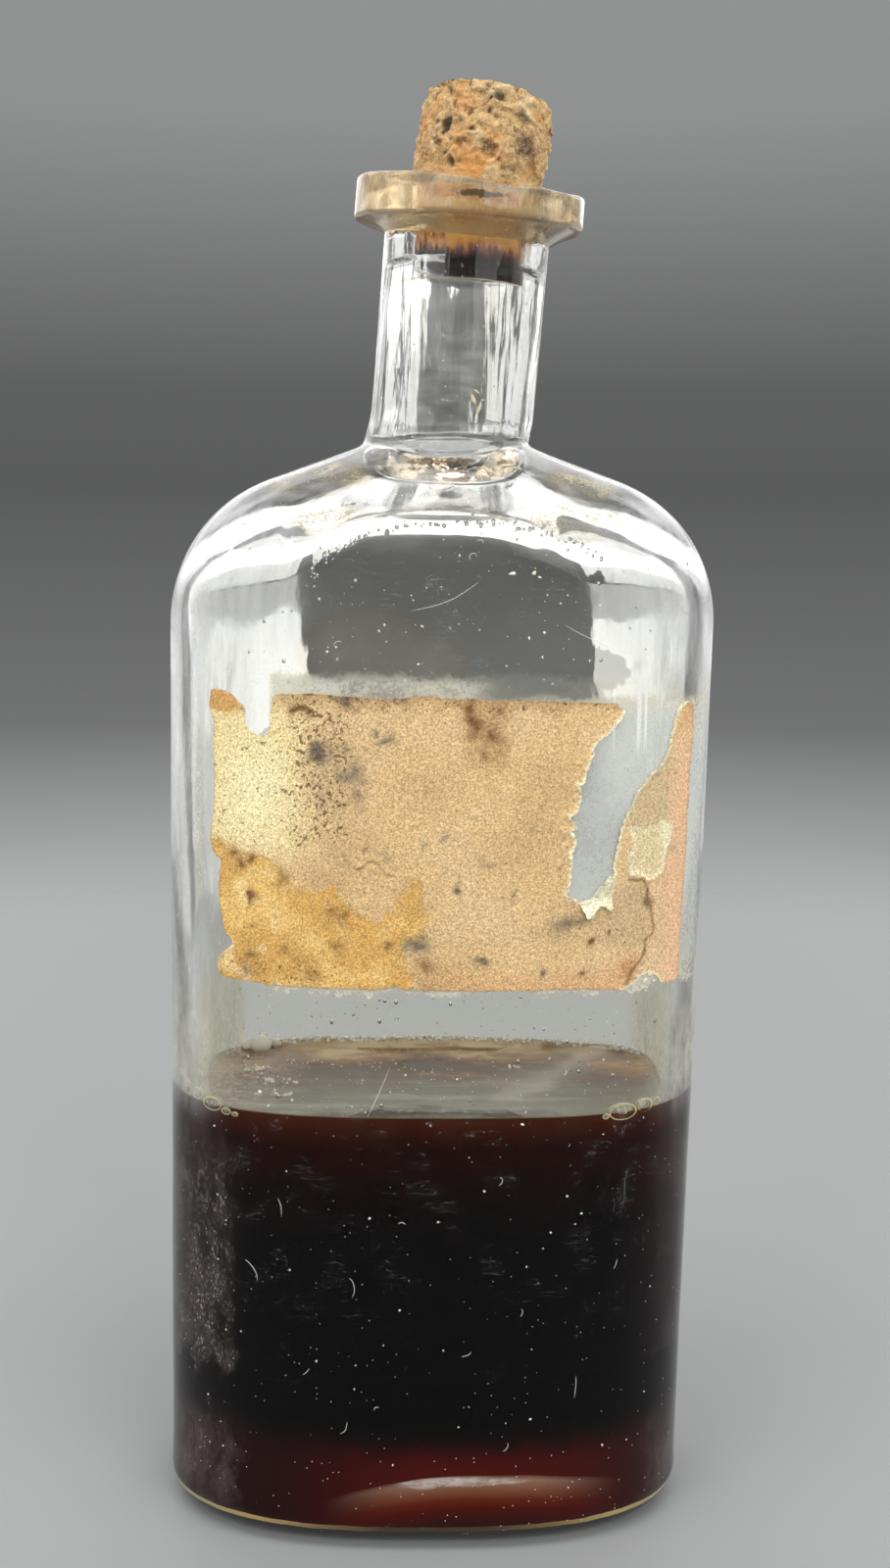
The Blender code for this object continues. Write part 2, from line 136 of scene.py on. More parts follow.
def side_half_width(height, inset, throat):
    radius = SIDE_SHOULDER_RADIUS - inset
    rise = max(0.0, height - SIDE_SHOULDER_HEIGHT)
    start_half, start_height = slope_start(radius)
    if height <= start_height:
        half = BODY_WIDTH / 2 - SIDE_SHOULDER_RADIUS + math.sqrt(radius ** 2 - rise ** 2)
    else:
        half = start_half - (height - start_height) / math.tan(SHOULDER_SLOPE)
    return blend_above(half, throat)


def face_half_depth(height, inset, throat):
    radius = FACE_SHOULDER_RADIUS - inset
    rise = min(radius, max(0.0, height - FACE_SHOULDER_HEIGHT))
    return blend_above(FACE_OFFSET + math.sqrt(radius ** 2 - rise ** 2), throat)


def squareness_at(height, start):
    share = min(1.0, max(0.0, (height - SIDE_SHOULDER_HEIGHT) / (NECK_FOOT - SIDE_SHOULDER_HEIGHT)))
    return start + (2 - start) * share ** 2


def body_centre(height):
    return Vector((BASE_X + math.tan(BODY_LEAN) * height, BASE_Y, height))


def neck_frame(station):
    if station <= NECK_FOOT:
        return body_centre(station), 0.0
    run = station - NECK_FOOT
    turned = min(run, NECK_BEND_LENGTH)
    share = turned / NECK_BEND_LENGTH
    tilt = NECK_LEAN * share
    bend_radius = NECK_BEND_LENGTH / NECK_LEAN
    centre = body_centre(NECK_FOOT)
    centre.x += bend_radius * (1 - math.cos(tilt)) + NECK_SIDE_STEP * share ** 2 * (3 - 2 * share)
    centre.x += (run - turned) * math.sin(tilt)
    centre.z += bend_radius * math.sin(tilt) + (run - turned) * math.cos(tilt)
    return centre, tilt


def mouth_frame(distance):
    centre = neck_frame(MOUTH_FOOT)[0]
    return centre + Vector((math.sin(MOUTH_LEAN), 0, math.cos(MOUTH_LEAN))) * distance


def mouth_radius(distance):
    return BORE_RADIUS + (MOUTH_RADIUS - BORE_RADIUS) * distance / MOUTH_DEPTH


def smooth(low, high, value):
    share = np.clip((value - low) / (high - low), 0.0, 1.0)
    return share * share * (3 - 2 * share)


def ripple(point, size, seed=0.0):
    """Smooth noise from about -1 to 1, with features of the given size."""
    return noise.noise(Vector(point) / size + Vector((seed, seed * 1.7, -seed)))


def ring(centre, tilt, half_width, half_depth, squareness, count=ROUND):
    """Points round a superellipse about a centre, tilted over to the right."""
    angle = 2 * math.pi * np.arange(count) / count
    cosine, sine = np.cos(angle), np.sin(angle)
    across = half_width * np.sign(cosine) * np.abs(cosine) ** (2 / squareness)
    deep = half_depth * np.sign(sine) * np.abs(sine) ** (2 / squareness)
    x = centre[0] + across * math.cos(tilt)
    z = centre[2] - across * math.sin(tilt)
    return np.stack([x, centre[1] + deep, z], axis=1)


def body_ring(height, half_width, half_depth, squareness):
    return ring(body_centre(height), 0.0, half_width, half_depth, squareness)


def push_up_rings(width, depth, floor_height, squareness):
    """The pushed-up middle of the base or of the floor, from near its centre to its edge."""
    rings = []
    for share in np.linspace(0.06, 1.0, 20):
        height = floor_height + PUSH_UP_HEIGHT * math.cos(math.pi / 2 * share) ** 2
        rings.append(body_ring(height, width * share, depth * share, squareness))
    return rings


def underside_rings():
    width = BODY_WIDTH / 2 - HEEL_RADIUS - REST_RING_WIDTH
    depth = BODY_DEPTH / 2 - HEEL_RADIUS - REST_RING_WIDTH
    rings = push_up_rings(width, depth, 0.0, PLAN_SQUARENESS)
    for reach in (REST_RING_WIDTH / 2, REST_RING_WIDTH):
        rings.append(body_ring(0.0, width + reach, depth + reach, PLAN_SQUARENESS))
    return rings


def heel_rings(inset, floor_height, squareness):
    rings = []
    for angle in np.linspace(0, math.pi / 2, 13)[1:]:
        tuck = inset + HEEL_RADIUS * (1 - math.sin(angle))
        height = floor_height + HEEL_RADIUS * (1 - math.cos(angle))
        rings.append(body_ring(height, BODY_WIDTH / 2 - tuck, BODY_DEPTH / 2 - tuck, squareness))
    return rings


def inner_floor_rings(inset, floor_height):
    width = BODY_WIDTH / 2 - inset - HEEL_RADIUS
    depth = BODY_DEPTH / 2 - inset - HEEL_RADIUS
    return push_up_rings(width, depth, floor_height, INNER_SQUARENESS)


def shoulder_rings(inset, throat, squareness):
    radius = SIDE_SHOULDER_RADIUS - inset
    heights = [SIDE_SHOULDER_HEIGHT + radius * math.sin(a) for a in np.linspace(0, SLOPE_START_ANGLE, 26)]
    foot = foot_height(radius, throat)
    heights += list(np.linspace(heights[-1], foot, 15)[1:])
    heights += [foot + NECK_FOOT_BLEND * share for share in (0.4, 0.8, 1.15, 1.5)]
    rings = []
    for height in heights:
        centre, tilt = neck_frame(height)
        plan = squareness_at(height, squareness)
        width = side_half_width(height, inset, throat)
        rings.append(ring(centre, tilt, width, face_half_depth(height, inset, throat), plan))
    return rings


def neck_rings(start, end, radius, count):
    rings = []
    for station in np.linspace(start, end, count):
        centre, tilt = neck_frame(station)
        rings.append(ring(centre, tilt, radius, radius, 2))
    return rings


def around(angle, centre, width):
    """A soft bump at one bearing round a ring."""
    away = (angle - centre + math.pi) % (2 * math.pi) - math.pi
    return math.exp(-(away / width) ** 2)


def lip_wave(angle):
    """How far the tooled rim rises or dips on its way round: high at the left, dipping at the front right."""
    wave = 0.16 * math.cos(angle - 3.3) + 0.10 * math.sin(3 * angle + 0.9) + 0.05 * math.sin(7 * angle + 2.0)
    wave -= (0.34 * around(angle, 5.02, 0.26) + 0.30 * around(angle, 5.6, 0.35)
             + 0.22 * around(angle, 1.2, 0.4))
    return MM * wave


# How far the lip nods forwards and how far front and back hang below its sides, in millimetres.
NOD_DROP = 1.35
NOD_DISH = 0.7


def lip_nod(angle):
    """The lip was pressed on nodding forwards: how far it drops at the front and rises at the back."""
    return MM * (NOD_DROP * math.sin(angle) - NOD_DISH * math.sin(angle) ** 2)


def nod_rings(rings, shares):
    """Tips rings with the lip, each by its share."""
    for points, share in zip(rings, shares):
        for index in range(len(points)):
            points[index, 2] += lip_nod(2 * math.pi * index / len(points)) * share
    return rings


def lip_rings():
    bottom = LIP_TOP - LIP_HEIGHT
    band = bottom + LIP_BEVEL_HEIGHT
    bevel = LIP_BEVEL_HEIGHT - LIP_EDGE_RADIUS
    flange = LIP_RADIUS - LIP_EDGE_RADIUS - NECK_RADIUS
    places = [(bottom + 0.1 * MM, NECK_RADIUS + 0.1 * MM, 0.0)]
    for share in np.linspace(0.12, 0.9, 9):
        places.append((bottom + bevel * share, NECK_RADIUS + flange * share ** 1.15, share))
    for angle in np.linspace(0, math.pi / 2, 7):
        radius = LIP_RADIUS - LIP_EDGE_RADIUS * (1 - math.sin(angle))
        places.append((band - LIP_EDGE_RADIUS * math.cos(angle), radius, 1.0))
    for share in np.linspace(0.12, 0.88, 12):
        places.append((band + (LIP_BAND_HEIGHT - LIP_EDGE_RADIUS) * share, LIP_RADIUS, 1 - share))
    for angle in np.linspace(0, math.pi / 2, 8):
        radius = LIP_RADIUS - LIP_EDGE_RADIUS * (1 - math.cos(angle))
        places.append((LIP_TOP - LIP_EDGE_RADIUS * (1 - math.sin(angle)), radius, 0.0))
    rings = []
    for station, radius, sag in places:
        centre, tilt = neck_frame(station)
        points = ring(centre, tilt, radius, radius, 2)
        share = (station - bottom) / LIP_HEIGHT
        for index in range(ROUND):
            angle = 2 * math.pi * index / ROUND
            droop = 0.45 + 0.45 * math.cos(angle - 3.0) + 0.12 * math.sin(2 * angle + 1)
            points[index, 2] += lip_wave(angle) * share ** 2 - MM * droop * sag * min(1.0, share * 2.5)
            points[index, 2] += lip_nod(angle) * (0.72 + 0.28 * share)
        rings.append(points)
    return rings


def mouth_edge():
    """The rounded edge of the mouth."""
    rings = []
    for depth, flare in ((0.0, 2.4), (0.0, 1.6), (0.15, 0.95), (0.45, 0.45), (0.9, 0.12)):
        distance = MOUTH_DEPTH - MOUTH_EDGE_RADIUS * depth
        radius = mouth_radius(distance) + MOUTH_EDGE_RADIUS * flare
        points = ring(mouth_frame(distance), NECK_LEAN, radius, radius, 2)
        for index in range(ROUND):
            angle = 2 * math.pi * index / ROUND
            points[index, 2] += lip_wave(angle) * 0.7 + lip_nod(angle)
        rings.append(points)
    return rings


def mouth_cone():
    """From the mouth's edge down its cone to the bore."""
    distances = np.linspace(MOUTH_DEPTH - 3 * MOUTH_EDGE_RADIUS, 0.0, 18)
    rings = []
    for distance in distances:
        radius = mouth_radius(distance)
        rings.append(ring(mouth_frame(distance), NECK_LEAN, radius, radius, 2))
    return nod_rings(rings, smooth(0.0, 1.0, distances / MOUTH_DEPTH))


def glass_wave(rings, depth, size, seed, tall=1.0):
    """Moves a wall towards or away from its axis by soft waves, up to the given depth."""
    for points in rings:
        centre = points.mean(axis=0)
        flat = points - centre
        flat[:, 2] = 0
        length = np.maximum(np.linalg.norm(flat, axis=1), 1e-6)
        for index in range(len(points)):
            x, y, z = points[index]
            place = (x, y, z / tall)
            wave = 0.65 * ripple(place, size, seed) + 0.35 * ripple(place, size * 0.43, seed + 5)
            points[index] += flat[index] / length[index] * depth * (wave - 0.55)
    return rings


def outer_wall():
    heights = np.linspace(HEEL_RADIUS, SIDE_SHOULDER_HEIGHT, 62)[1:-1]
    straight = [body_ring(height, BODY_WIDTH / 2, BODY_DEPTH / 2, PLAN_SQUARENESS) for height in heights]
    body = straight + shoulder_rings(0.0, NECK_RADIUS, PLAN_SQUARENESS)
    neck = neck_rings(NECK_FOOT + NECK_FOOT_BLEND * 1.9, LIP_TOP - LIP_HEIGHT, NECK_RADIUS, 30)
    glass_wave(body, 0.16 * MM, 24 * MM, 3.0)
    glass_wave(neck, 0.14 * MM, 7 * MM, 7.0, 3.0)
    glass_wave(neck, 0.07 * MM, 1.5 * MM, 17.0, 14.0)
    heights = np.array([points[:, 2].mean() for points in neck])
    nod_rings(neck, 0.72 * smooth(heights[-1] - 7.5 * MM, heights[-1], heights))
    lip = lip_rings()
    glass_wave(lip, 0.22 * MM, 5 * MM, 9.0)
    return underside_rings() + heel_rings(0.0, 0.0, PLAN_SQUARENESS), body, neck, lip


def inner_squareness(height):
    """The inside's plan grows rounder towards the shoulder, where the corners are thick."""
    share = float(smooth(76 * MM, 118 * MM, height))
    return INNER_SQUARENESS + (SHOULDER_SQUARENESS - INNER_SQUARENESS) * share


def inner_wave(rings):
    """Gives the inside wall its soft waves."""
    return glass_wave(rings, 0.55 * MM, 19 * MM, 11.0, 1.6)


def inner_body(inset, floor_height, top):
    """The inside wall from its heel to the given height, with rings at the edge of the wet glass."""
    heights = np.arange(floor_height + HEEL_RADIUS, top, 2.0 * MM)[1:]
    edges = [height for height in (WET_TOP, WET_TOP + 0.12 * MM) if height < top]
    half_width, half_depth = BODY_WIDTH / 2 - inset, BODY_DEPTH / 2 - inset
    rings = heel_rings(inset, floor_height, INNER_SQUARENESS)
    for height in np.sort(np.append(heights, edges)):
        rings.append(body_ring(height, half_width, half_depth, inner_squareness(height)))
    return inner_wave(rings)


def inner_shoulder():
    """The inside of the shoulder, sunk where the glass ran thick, most of all in the corners."""
    rings = shoulder_rings(WALL_THICKNESS, BORE_RADIUS, SHOULDER_SQUARENESS)
    for points in rings:
        across, height = np.abs(points[:, 0]), points[:, 2].copy()
        start = 134.5 * MM - 4.2 * MM * np.minimum(across / (16 * MM), 1.2) ** 4
        spread = 8.5 * MM + 7 * MM * smooth(14 * MM, 24 * MM, across)
        share = smooth(start, start + spread, height) * smooth(149.5 * MM, 145.5 * MM, height)
        points[:, 2] -= SHOULDER_SINK * share
    return inner_wave(rings)


def inner_wall():
    floor = inner_floor_rings(WALL_THICKNESS, FLOOR_THICKNESS)
    body = inner_body(WALL_THICKNESS, FLOOR_THICKNESS, SIDE_SHOULDER_HEIGHT)
    start = foot_height(SIDE_SHOULDER_RADIUS - WALL_THICKNESS, BORE_RADIUS) + NECK_FOOT_BLEND * 1.9
    neck = neck_rings(start, MOUTH_FOOT - 0.3 * MM, BORE_RADIUS, 26)
    glass_wave(neck, 0.5 * MM, 6 * MM, 13.0, 4.0)
    glass_wave(neck, 0.12 * MM, 1.3 * MM, 19.0, 14.0)
    return floor, body + inner_shoulder(), neck


def quads(low, high, count):
    """Faces between two closed rings of points, each given by the number of its first point."""
    after = [(index + 1) % count for index in range(count)]
    return [(low + index, low + after[index], high + after[index], high + index) for index in range(count)]


def fan(tip, base, count):
    """Faces from a tip to a closed ring of points."""
    return [(tip, base + index, base + (index + 1) % count) for index in range(count)]


def add_mesh(name, verts, faces, materials):
    mesh = bpy.data.meshes.new(name)
    mesh.from_pydata([tuple(point) for point in verts], [], faces)
    for material in materials:
        mesh.materials.append(material)
    thing = bpy.data.objects.new(name, mesh)
    bpy.context.scene.collection.objects.link(thing)
    return thing


def add_piece(name, verts, faces, materials, replaces=None, body="bottle"):
    """Adds one smooth piece, the solid that it stands in for and the body that it rides on."""
    thing = add_mesh(name, verts, faces, materials)
    thing.data.shade_smooth()
    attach(thing, body)
    if replaces:
        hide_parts(replaces)
    return thing


def add_layer(thing, name, values):
    """Stores one number or one colour for each point of a piece."""
    values = np.asarray(values)
    is_colour = values.ndim == 2
    if is_colour:
        values = np.column_stack([values, np.ones(len(values))])
    layer = thing.data.attributes.new(name, "FLOAT_COLOR" if is_colour else "FLOAT", "POINT")
    layer.data.foreach_set("color" if is_colour else "value", values.astype(np.float32).ravel())


def loft(name, start, ring_groups, end, materials, replaces, body="bottle"):
    """A closed piece through groups of rings, each group with its own material."""
    rings = [points for group in ring_groups for points in group]
    count, last = len(rings[0]), len(rings) - 1
    verts = [start] + [point for points in rings for point in points] + [end]
    faces = [tuple(reversed(face)) for face in fan(0, 1, count)]
    for row in range(last):
        faces += quads(1 + row * count, 1 + (row + 1) * count, count)
    faces += fan(len(verts) - 1, 1 + last * count, count)
    thing = add_piece(name, verts, faces, materials, replaces, body)
    slots = [number for number, group in enumerate(ring_groups) for _ in group]
    thing.data.polygons.foreach_set("material_index", np.repeat(slots + slots[-1:], count))
    return thing


def reckoning(operation, swapped=False):
    """The method for one sign of arithmetic between values."""
    def reckon(self, other):
        return self.web.math(operation, *((other, self) if swapped else (self, other)))
    return reckon


class Value:
    """A number or colour that nodes make, to reckon with like a plain one."""

    def __init__(self, web, socket):
        self.web = web
        self.socket = socket

    __add__ = reckoning("ADD")
    __radd__ = reckoning("ADD", True)
    __sub__ = reckoning("SUBTRACT")
    __rsub__ = reckoning("SUBTRACT", True)
    __mul__ = reckoning("MULTIPLY")
    __rmul__ = reckoning("MULTIPLY", True)
    __truediv__ = reckoning("DIVIDE")
    __pow__ = reckoning("POWER")

    def __abs__(self):
        return self.web.math("ABSOLUTE", self)

    def step(self, low, high, to_low=0.0, to_high=1.0):
        """A clamped smooth step from one value to another."""
        node = self.web.node("MapRange", self, From_Min=low, From_Max=high, To_Min=to_low, To_Max=to_high)
        node.interpolation_type = "SMOOTHSTEP"
        return Value(self.web, node.outputs[0])

    def step_mm(self, low, high, to_low=0.0, to_high=1.0):
        """The same between two places in millimetres."""
        return self.step(low * MM, high * MM, to_low, to_high)

    def sway(self, reach):
        """A length either side of zero from noise, its full range in millimetres."""
        return (self - 0.5) * (reach * MM)


class Web:
    """Short names for the nodes of one material, or of the world."""

    def __init__(self, owner, coordinates):
        owner.use_nodes = True
        self.tree = owner.node_tree
        self.place = Value(self, self.node("TexCoord").outputs[coordinates])

    def put(self, socket, value):
        """Links a value to a socket, or sets the socket to a plain one."""
        if isinstance(value, Value):
            self.tree.links.new(value.socket, socket)
        elif socket.type == "RGBA":
            socket.default_value = (*value, 1.0)
        else:
            socket.default_value = value

    def node(self, kind, *inputs, **named):
        """A new node, with its first inputs and others by name."""
        node = self.tree.nodes.new("ShaderNode" + kind)
        for socket, value in zip(node.inputs, inputs):
            self.put(socket, value)
        for name, value in named.items():
            self.put(node.inputs[name.replace("_", " ")], value)
        return node

    def math(self, operation, *inputs):
        node = self.node("Math", *inputs)
        node.operation = operation
        return Value(self, node.outputs[0])

    def most(self, *values):
        result = values[0]
        for value in values[1:]:
            result = self.math("MAXIMUM", result, value)
        return result

    def noise(self, size, detail=3.0, rough=0.5, scale=None, offset=(0, 0, 0)):
        """Noise from 0 to 1 with features of a size in millimetres, longer where the scale is small."""
        place = self.place
        if scale:
            place = Value(self, self.node("Mapping", place, Location=offset, Scale=scale).outputs[0])
        node = self.node("TexNoise", place, Scale=1 / (size * MM), Detail=detail, Roughness=rough)
        return Value(self, node.outputs["Fac"])

    def cells(self, size):
        """The distance to the middle of the nearest cell, and a random colour for each cell."""
        node = self.node("TexVoronoi", self.place, Scale=1 / (size * MM))
        return Value(self, node.outputs["Distance"]), Value(self, node.outputs["Color"])

    def specks(self, size, reach, share):
        """Scattered dots: their spacing in millimetres, how far each reaches and how many there are."""
        away, colour = self.cells(size)
        chosen = self.axes(colour)[0].step(1 - share, 1 - share + 0.02)
        return away.step(reach, reach * 0.55) * chosen

    def mix(self, share, first, second, blend="MIX"):
        """A colour between two: the second by its share."""
        node = self.node("Mix")
        node.data_type = "RGBA"
        node.blend_type = blend
        for index, value in ((0, share), (6, first), (7, second)):
            self.put(node.inputs[index], value)
        return Value(self, node.outputs[2])

    def ramp(self, value, stops):
        node = self.node("ValToRGB", value)
        elements = node.color_ramp.elements
        while len(elements) < len(stops):
            elements.new(1.0)
        for element, (position, colour) in zip(elements, stops):
            element.position = position
            element.color = (*colour, 1.0)
        return Value(self, node.outputs["Color"])

    def axes(self, source=None):
        node = self.node("SeparateXYZ", source or self.place)
        return [Value(self, socket) for socket in node.outputs]

    def tint(self, value):
        """A grey colour from a number, which may be over 1."""
        return Value(self, self.node("CombineColor", value, value, value).outputs[0])

    def attribute(self, name, output="Fac"):
        node = self.node("Attribute")
        node.attribute_name = name
        return Value(self, node.outputs[output])


GLASS_TINT = (0.965, 0.968, 0.93)
GLASS_IOR = 1.5
LIQUID_IOR = 1.36
WET_IOR = 1.47
FROTH_IOR = 1.33


class Finish(Web):
    """The web of one new material."""

    def __init__(self, name):
        self.material = bpy.data.materials.new(name)
        super().__init__(self.material, "Object")
        self.shader = self.tree.nodes["Principled BSDF"]

    def set(self, **values):
        for name, value in values.items():
            self.put(self.shader.inputs[name.replace("_", " ")], value)

    def bump(self, height, depth, strength):
        node = self.node("Bump", Strength=strength, Distance=depth, Height=height)
        self.set(Normal=Value(self, node.outputs["Normal"]))


def dirt_and_painted_light_layers(web, layers, roughness, shiny=0.0):
    """Puts layers of dirt and of painted highlight, glow and shade on clear glass: each a mask, how much it
    covers and its colour.

    The shiny share of the cover isn't dull.
    """
    colour = GLASS_TINT
    for mask, _, tone in layers:
        colour = web.mix(mask.step(0.02, 0.25), colour, tone)
    cover = web.most(*[mask * most for mask, most, _ in layers])
    dull = web.most(cover - shiny, 0.0)
    web.set(Base_Color=colour, Transmission_Weight=1.0 - cover, Roughness=roughness + dull * 0.55)


def patch(x, z, places):
    """The strongest of several soft round marks: across, height, half width, half height in millimetres."""
    marks = []
    for across, height, wide, tall in places:
        first = (x - across * MM) / (wide * MM)
        second = (z - height * MM) / (tall * MM)
        marks.append((first * first + second * second).step(1.0, 0.0))
    return x.web.most(*marks)


# Where the painted glow's bright crest over the pushed-up base lies, in millimetres, and how much the dark
# paint of the depth covers.
CREST_ACROSS = 6.0
CREST_HEIGHT = 10.9
DEEP_COVER = 0.94


def on_front(y):
    """1 on the front face, 0 on the sides and back."""
    return y.step_mm(-6, -10)


def film_and_highlight_layers(web, x, y, z, fine, broad):
    """Thin films on clear glass: stain from the liquid, a wiped smear and veiled neck, with painted
    highlights on the curving sides and on the shoulder's bend.
    """
    steeped = web.mix(z.step_mm(57.0, 32.0), GLASS_TINT, (0.3, 0.22, 0.18))
    film = patch(x, z, [(-9.0, 121.0, 10.0, 6.5), (-1.0, 119.0, 6.0, 5.0)])
    film = film * on_front(y) * broad.step(0.3, 0.7, 0.55, 1.0)
    veil = web.noise(2.4, 5.0, 0.65, (0.25, 0.5, 1.0)).step(0.36, 0.68, 0.1, 1.0)
    veil = veil * (z.step_mm(131, 139) * z.step_mm(175, 150, 0.35, 1.0))
    brushed = web.noise(2.0, 4.0, 0.65, (1.0, 0.7, 0.16))
    # Painted highlights where the sides curve away above the liquid, and on the shoulder's bend.
    outward = abs(x - z * math.tan(BODY_LEAN)) + fine.sway(2.4)
    sides = outward.step_mm(27.0, 35.0) * z.step_mm(57, 63, 0.1, 1.0)
    sides = sides * brushed.step(0.34, 0.66, 0.35, 1.0) * z.step_mm(150, 140)
    bend_highlight = outward.step_mm(15.0, 26.0) * z.step_mm(116, 128)
    bend_highlight = bend_highlight * z.step_mm(150, 142) * brushed.step(0.36, 0.64, 0.25, 1.0)
    return [
        (z.step_mm(58.0, 57.0), 0.0, steeped),
        (film, 0.05, (0.9, 0.8, 0.69)),
        (veil, 0.2, (0.9, 0.9, 0.88)),
        (sides, 0.36, (0.9, 0.91, 0.88)),
        (bend_highlight, 0.2, (0.9, 0.91, 0.9)),
    ]


def painted_base_glow(web, x, y, z, broad):
    """Black to a painted ember-red glow over the pushed-up base, brightest in the lens of its crest, with a
    painted glint on it.
    """
    along = x - CREST_ACROSS * MM
    over = z - (CREST_HEIGHT * MM + broad * (0.4 * MM) - along * along * x.step_mm(0.0, 12, 9.6, 6.4))
    along = abs(along)
    painted_glow_mask = over.step_mm(0.12, -0.12) * along.step_mm(21, 6) * y.step_mm(0.0, -5)
    # Painted glow under the crest: pinkish white at its top, fading to dark red below.
    lens = web.ramp((over + 8 * MM) * 100.0, [
        (0.04, (0.02, 0.002, 0.001)), (0.18, (0.034, 0.004, 0.002)), (0.32, (0.06, 0.003, 0.001)),
        (0.46, (0.11, 0.014, 0.004)), (0.6, (0.19, 0.072, 0.036)), (0.74, (0.26, 0.15, 0.105)),
        (0.8, (0.12, 0.05, 0.025)),
    ])
    height = z + broad.sway(3.0)
    # A painted ember-red glow low in the middle.
    painted_ember_glow = along.step_mm(30, 5) * height.step_mm(17.0, 11.0)
    ruby_and_glow = web.mix(painted_glow_mask, web.mix(painted_ember_glow, (0.014, 0.001, 0.001), (0.060, 0.003, 0.001)), lens)
    # A painted glint on the crest.
    painted_glint = patch(x, z + broad.sway(0.8),
                  [(3.0, 10.2, 8.0, 0.9), (-1.4, 9.9, 3.6, 0.9), (9.0, 10.1, 5.0, 0.6)])
    grain = web.noise(0.9, 4.0, 0.6, (0.5, 1.0, 1.6), (0, 0.5, 0))
    painted_glint = painted_glint * on_front(y) * grain.step(0.36, 0.62, 0.3, 1.0)
    return web.mix(painted_glint * painted_glow_mask, ruby_and_glow, (0.5, 0.42, 0.38))


def low_layers(web, x, y, z, fine, broad, wander):
    """The lower body: mineral haze and crust at its sides, over the dark paint of the depth, which carries
    the painted glow and glint of the base.
    """
    border = x + web.noise(5.0, 4.0, 0.65).sway(9.0) + fine.sway(2.5)
    cloud = web.noise(3.0, 5.0, 0.65, (1.0, 1.0, 0.5)).step(0.36, 0.7, 0.15, 1.0)
    haze = border.step_mm(-25.5, -28.5) * z.step_mm(61, 44) * cloud * on_front(y)
    gritty = web.noise(0.30, 4.0, 0.75, (1.0, 1.0, 0.45))
    crust = haze * z.step_mm(4, 9) * (gritty * 0.65 + fine * 0.35).step(0.5, 0.6)
    other = (x - wander).step_mm(28.0, 33.0) * (z.step_mm(40, 10) * cloud)
    clung = (haze + other) * 0.11 + crust * 0.13
    ruby_and_glow = web.mix(clung, painted_base_glow(web, x, y, z, broad), (0.50, 0.42, 0.38))
    height = z + broad.sway(3.0)
    return [
        (haze, 0.1, (0.5, 0.42, 0.38)),
        (other, 0.04, (0.6, 0.5, 0.44)),
        (crust, 0.58, (0.6, 0.52, 0.47)),
        (height.step_mm(26.0, 19.5) * (1.0 - haze), 0.0, ruby_and_glow),
        (height.step_mm(19.0, 12.5), DEEP_COVER, ruby_and_glow),
    ]


def glue_layers(web, x, y, z, fine, broad, wander):
    """Glue left round the label and bare where the strip was torn away, and soil at the neck's foot."""
    ragged = z + wander
    glue = ragged.step_mm(76.9, 77.6) * ragged.step_mm(118.6, 117.0)
    glue = glue * (x.step_mm(-21.2, -20.2) * on_front(y))
    glue = glue * (1.0 - (x + wander).step_mm(3, 9) * ragged.step_mm(114.6, 115.6, 0.0, 0.8))
    lines = web.noise(1.0, 2.0, 0.6, (1.0, 0.0, 0.012))
    bare = lines.step(0.52, 0.6) * z.step_mm(101, 110) * x.step_mm(21.5, 23.0)
    under = z.step_mm(79, 81) * z.step_mm(115, 112)
    mottle = (fine * 0.6 + broad * 0.4).step(0.38, 0.62, 0.42, 1.0)
    glue = glue * (mottle * (1.0 - under * 0.65) + under * 0.52) * (1.0 - bare * 0.85)
    edge = patch(x, ragged, [(-30.6, 98.5, 0.9, 14.0), (33.4, 112.0, 2.2, 5.0), (32.9, 96.0, 0.7, 18.0)])
    edge = edge * on_front(y) * fine.step(0.46, 0.62)
    grit = (web.noise(0.42, 4.0, 0.7) * 0.6 + broad * 0.4).step(0.47, 0.6)
    soil = grit * patch(x, z, [(-15.5, 142.6, 9.5, 3.0), (19.5, 142.4, 8.0, 3.2)]) * y.step_mm(2, -3)
    smear = patch(x, z, [(0.6, 144.3, 5.4, 0.7), (8.4, 144.2, 1.3, 0.6)])
    smear = smear * (on_front(y) * fine.step(0.4, 0.55))
    return [
        (glue, 0.66, web.mix(under, (0.8, 0.76, 0.62), (0.74, 0.77, 0.72))),
        (edge, 0.6, (0.82, 0.79, 0.66)),
        (soil, 0.5, (0.66, 0.55, 0.32)),
        (smear, 0.6, (0.22, 0.16, 0.1)),
    ]


def heel_shade_and_highlight_layers(web, x, z, fine, broad):
    """Painted shade on the low heel and a painted golden highlight line over it."""
    low = z + broad.sway(0.5)
    # A painted highlight along the heel's edge, golden at the ends and dark in the middle.
    rim = abs(low - 3.2 * MM).step_mm(0.48, 0.12) * fine.step(0.3, 0.55, 0.55, 1.0)
    rim_highlight_tone = web.ramp(x * 14.0 + 0.5, [
        (0.05, (0.42, 0.36, 0.17)), (0.17, (0.52, 0.35, 0.14)), (0.3, (0.24, 0.15, 0.07)),
        (0.42, (0.07, 0.04, 0.02)), (0.62, (0.08, 0.05, 0.03)), (0.74, (0.24, 0.15, 0.06)),
        (0.85, (0.5, 0.37, 0.15)), (0.95, (0.4, 0.36, 0.16)),
    ])
    # Painted shade over the low heel, then the painted highlight line.
    return [(low.step_mm(3.1, 2.5), 0.93, (0.022, 0.024, 0.017)), (rim, 0.72, rim_highlight_tone)]


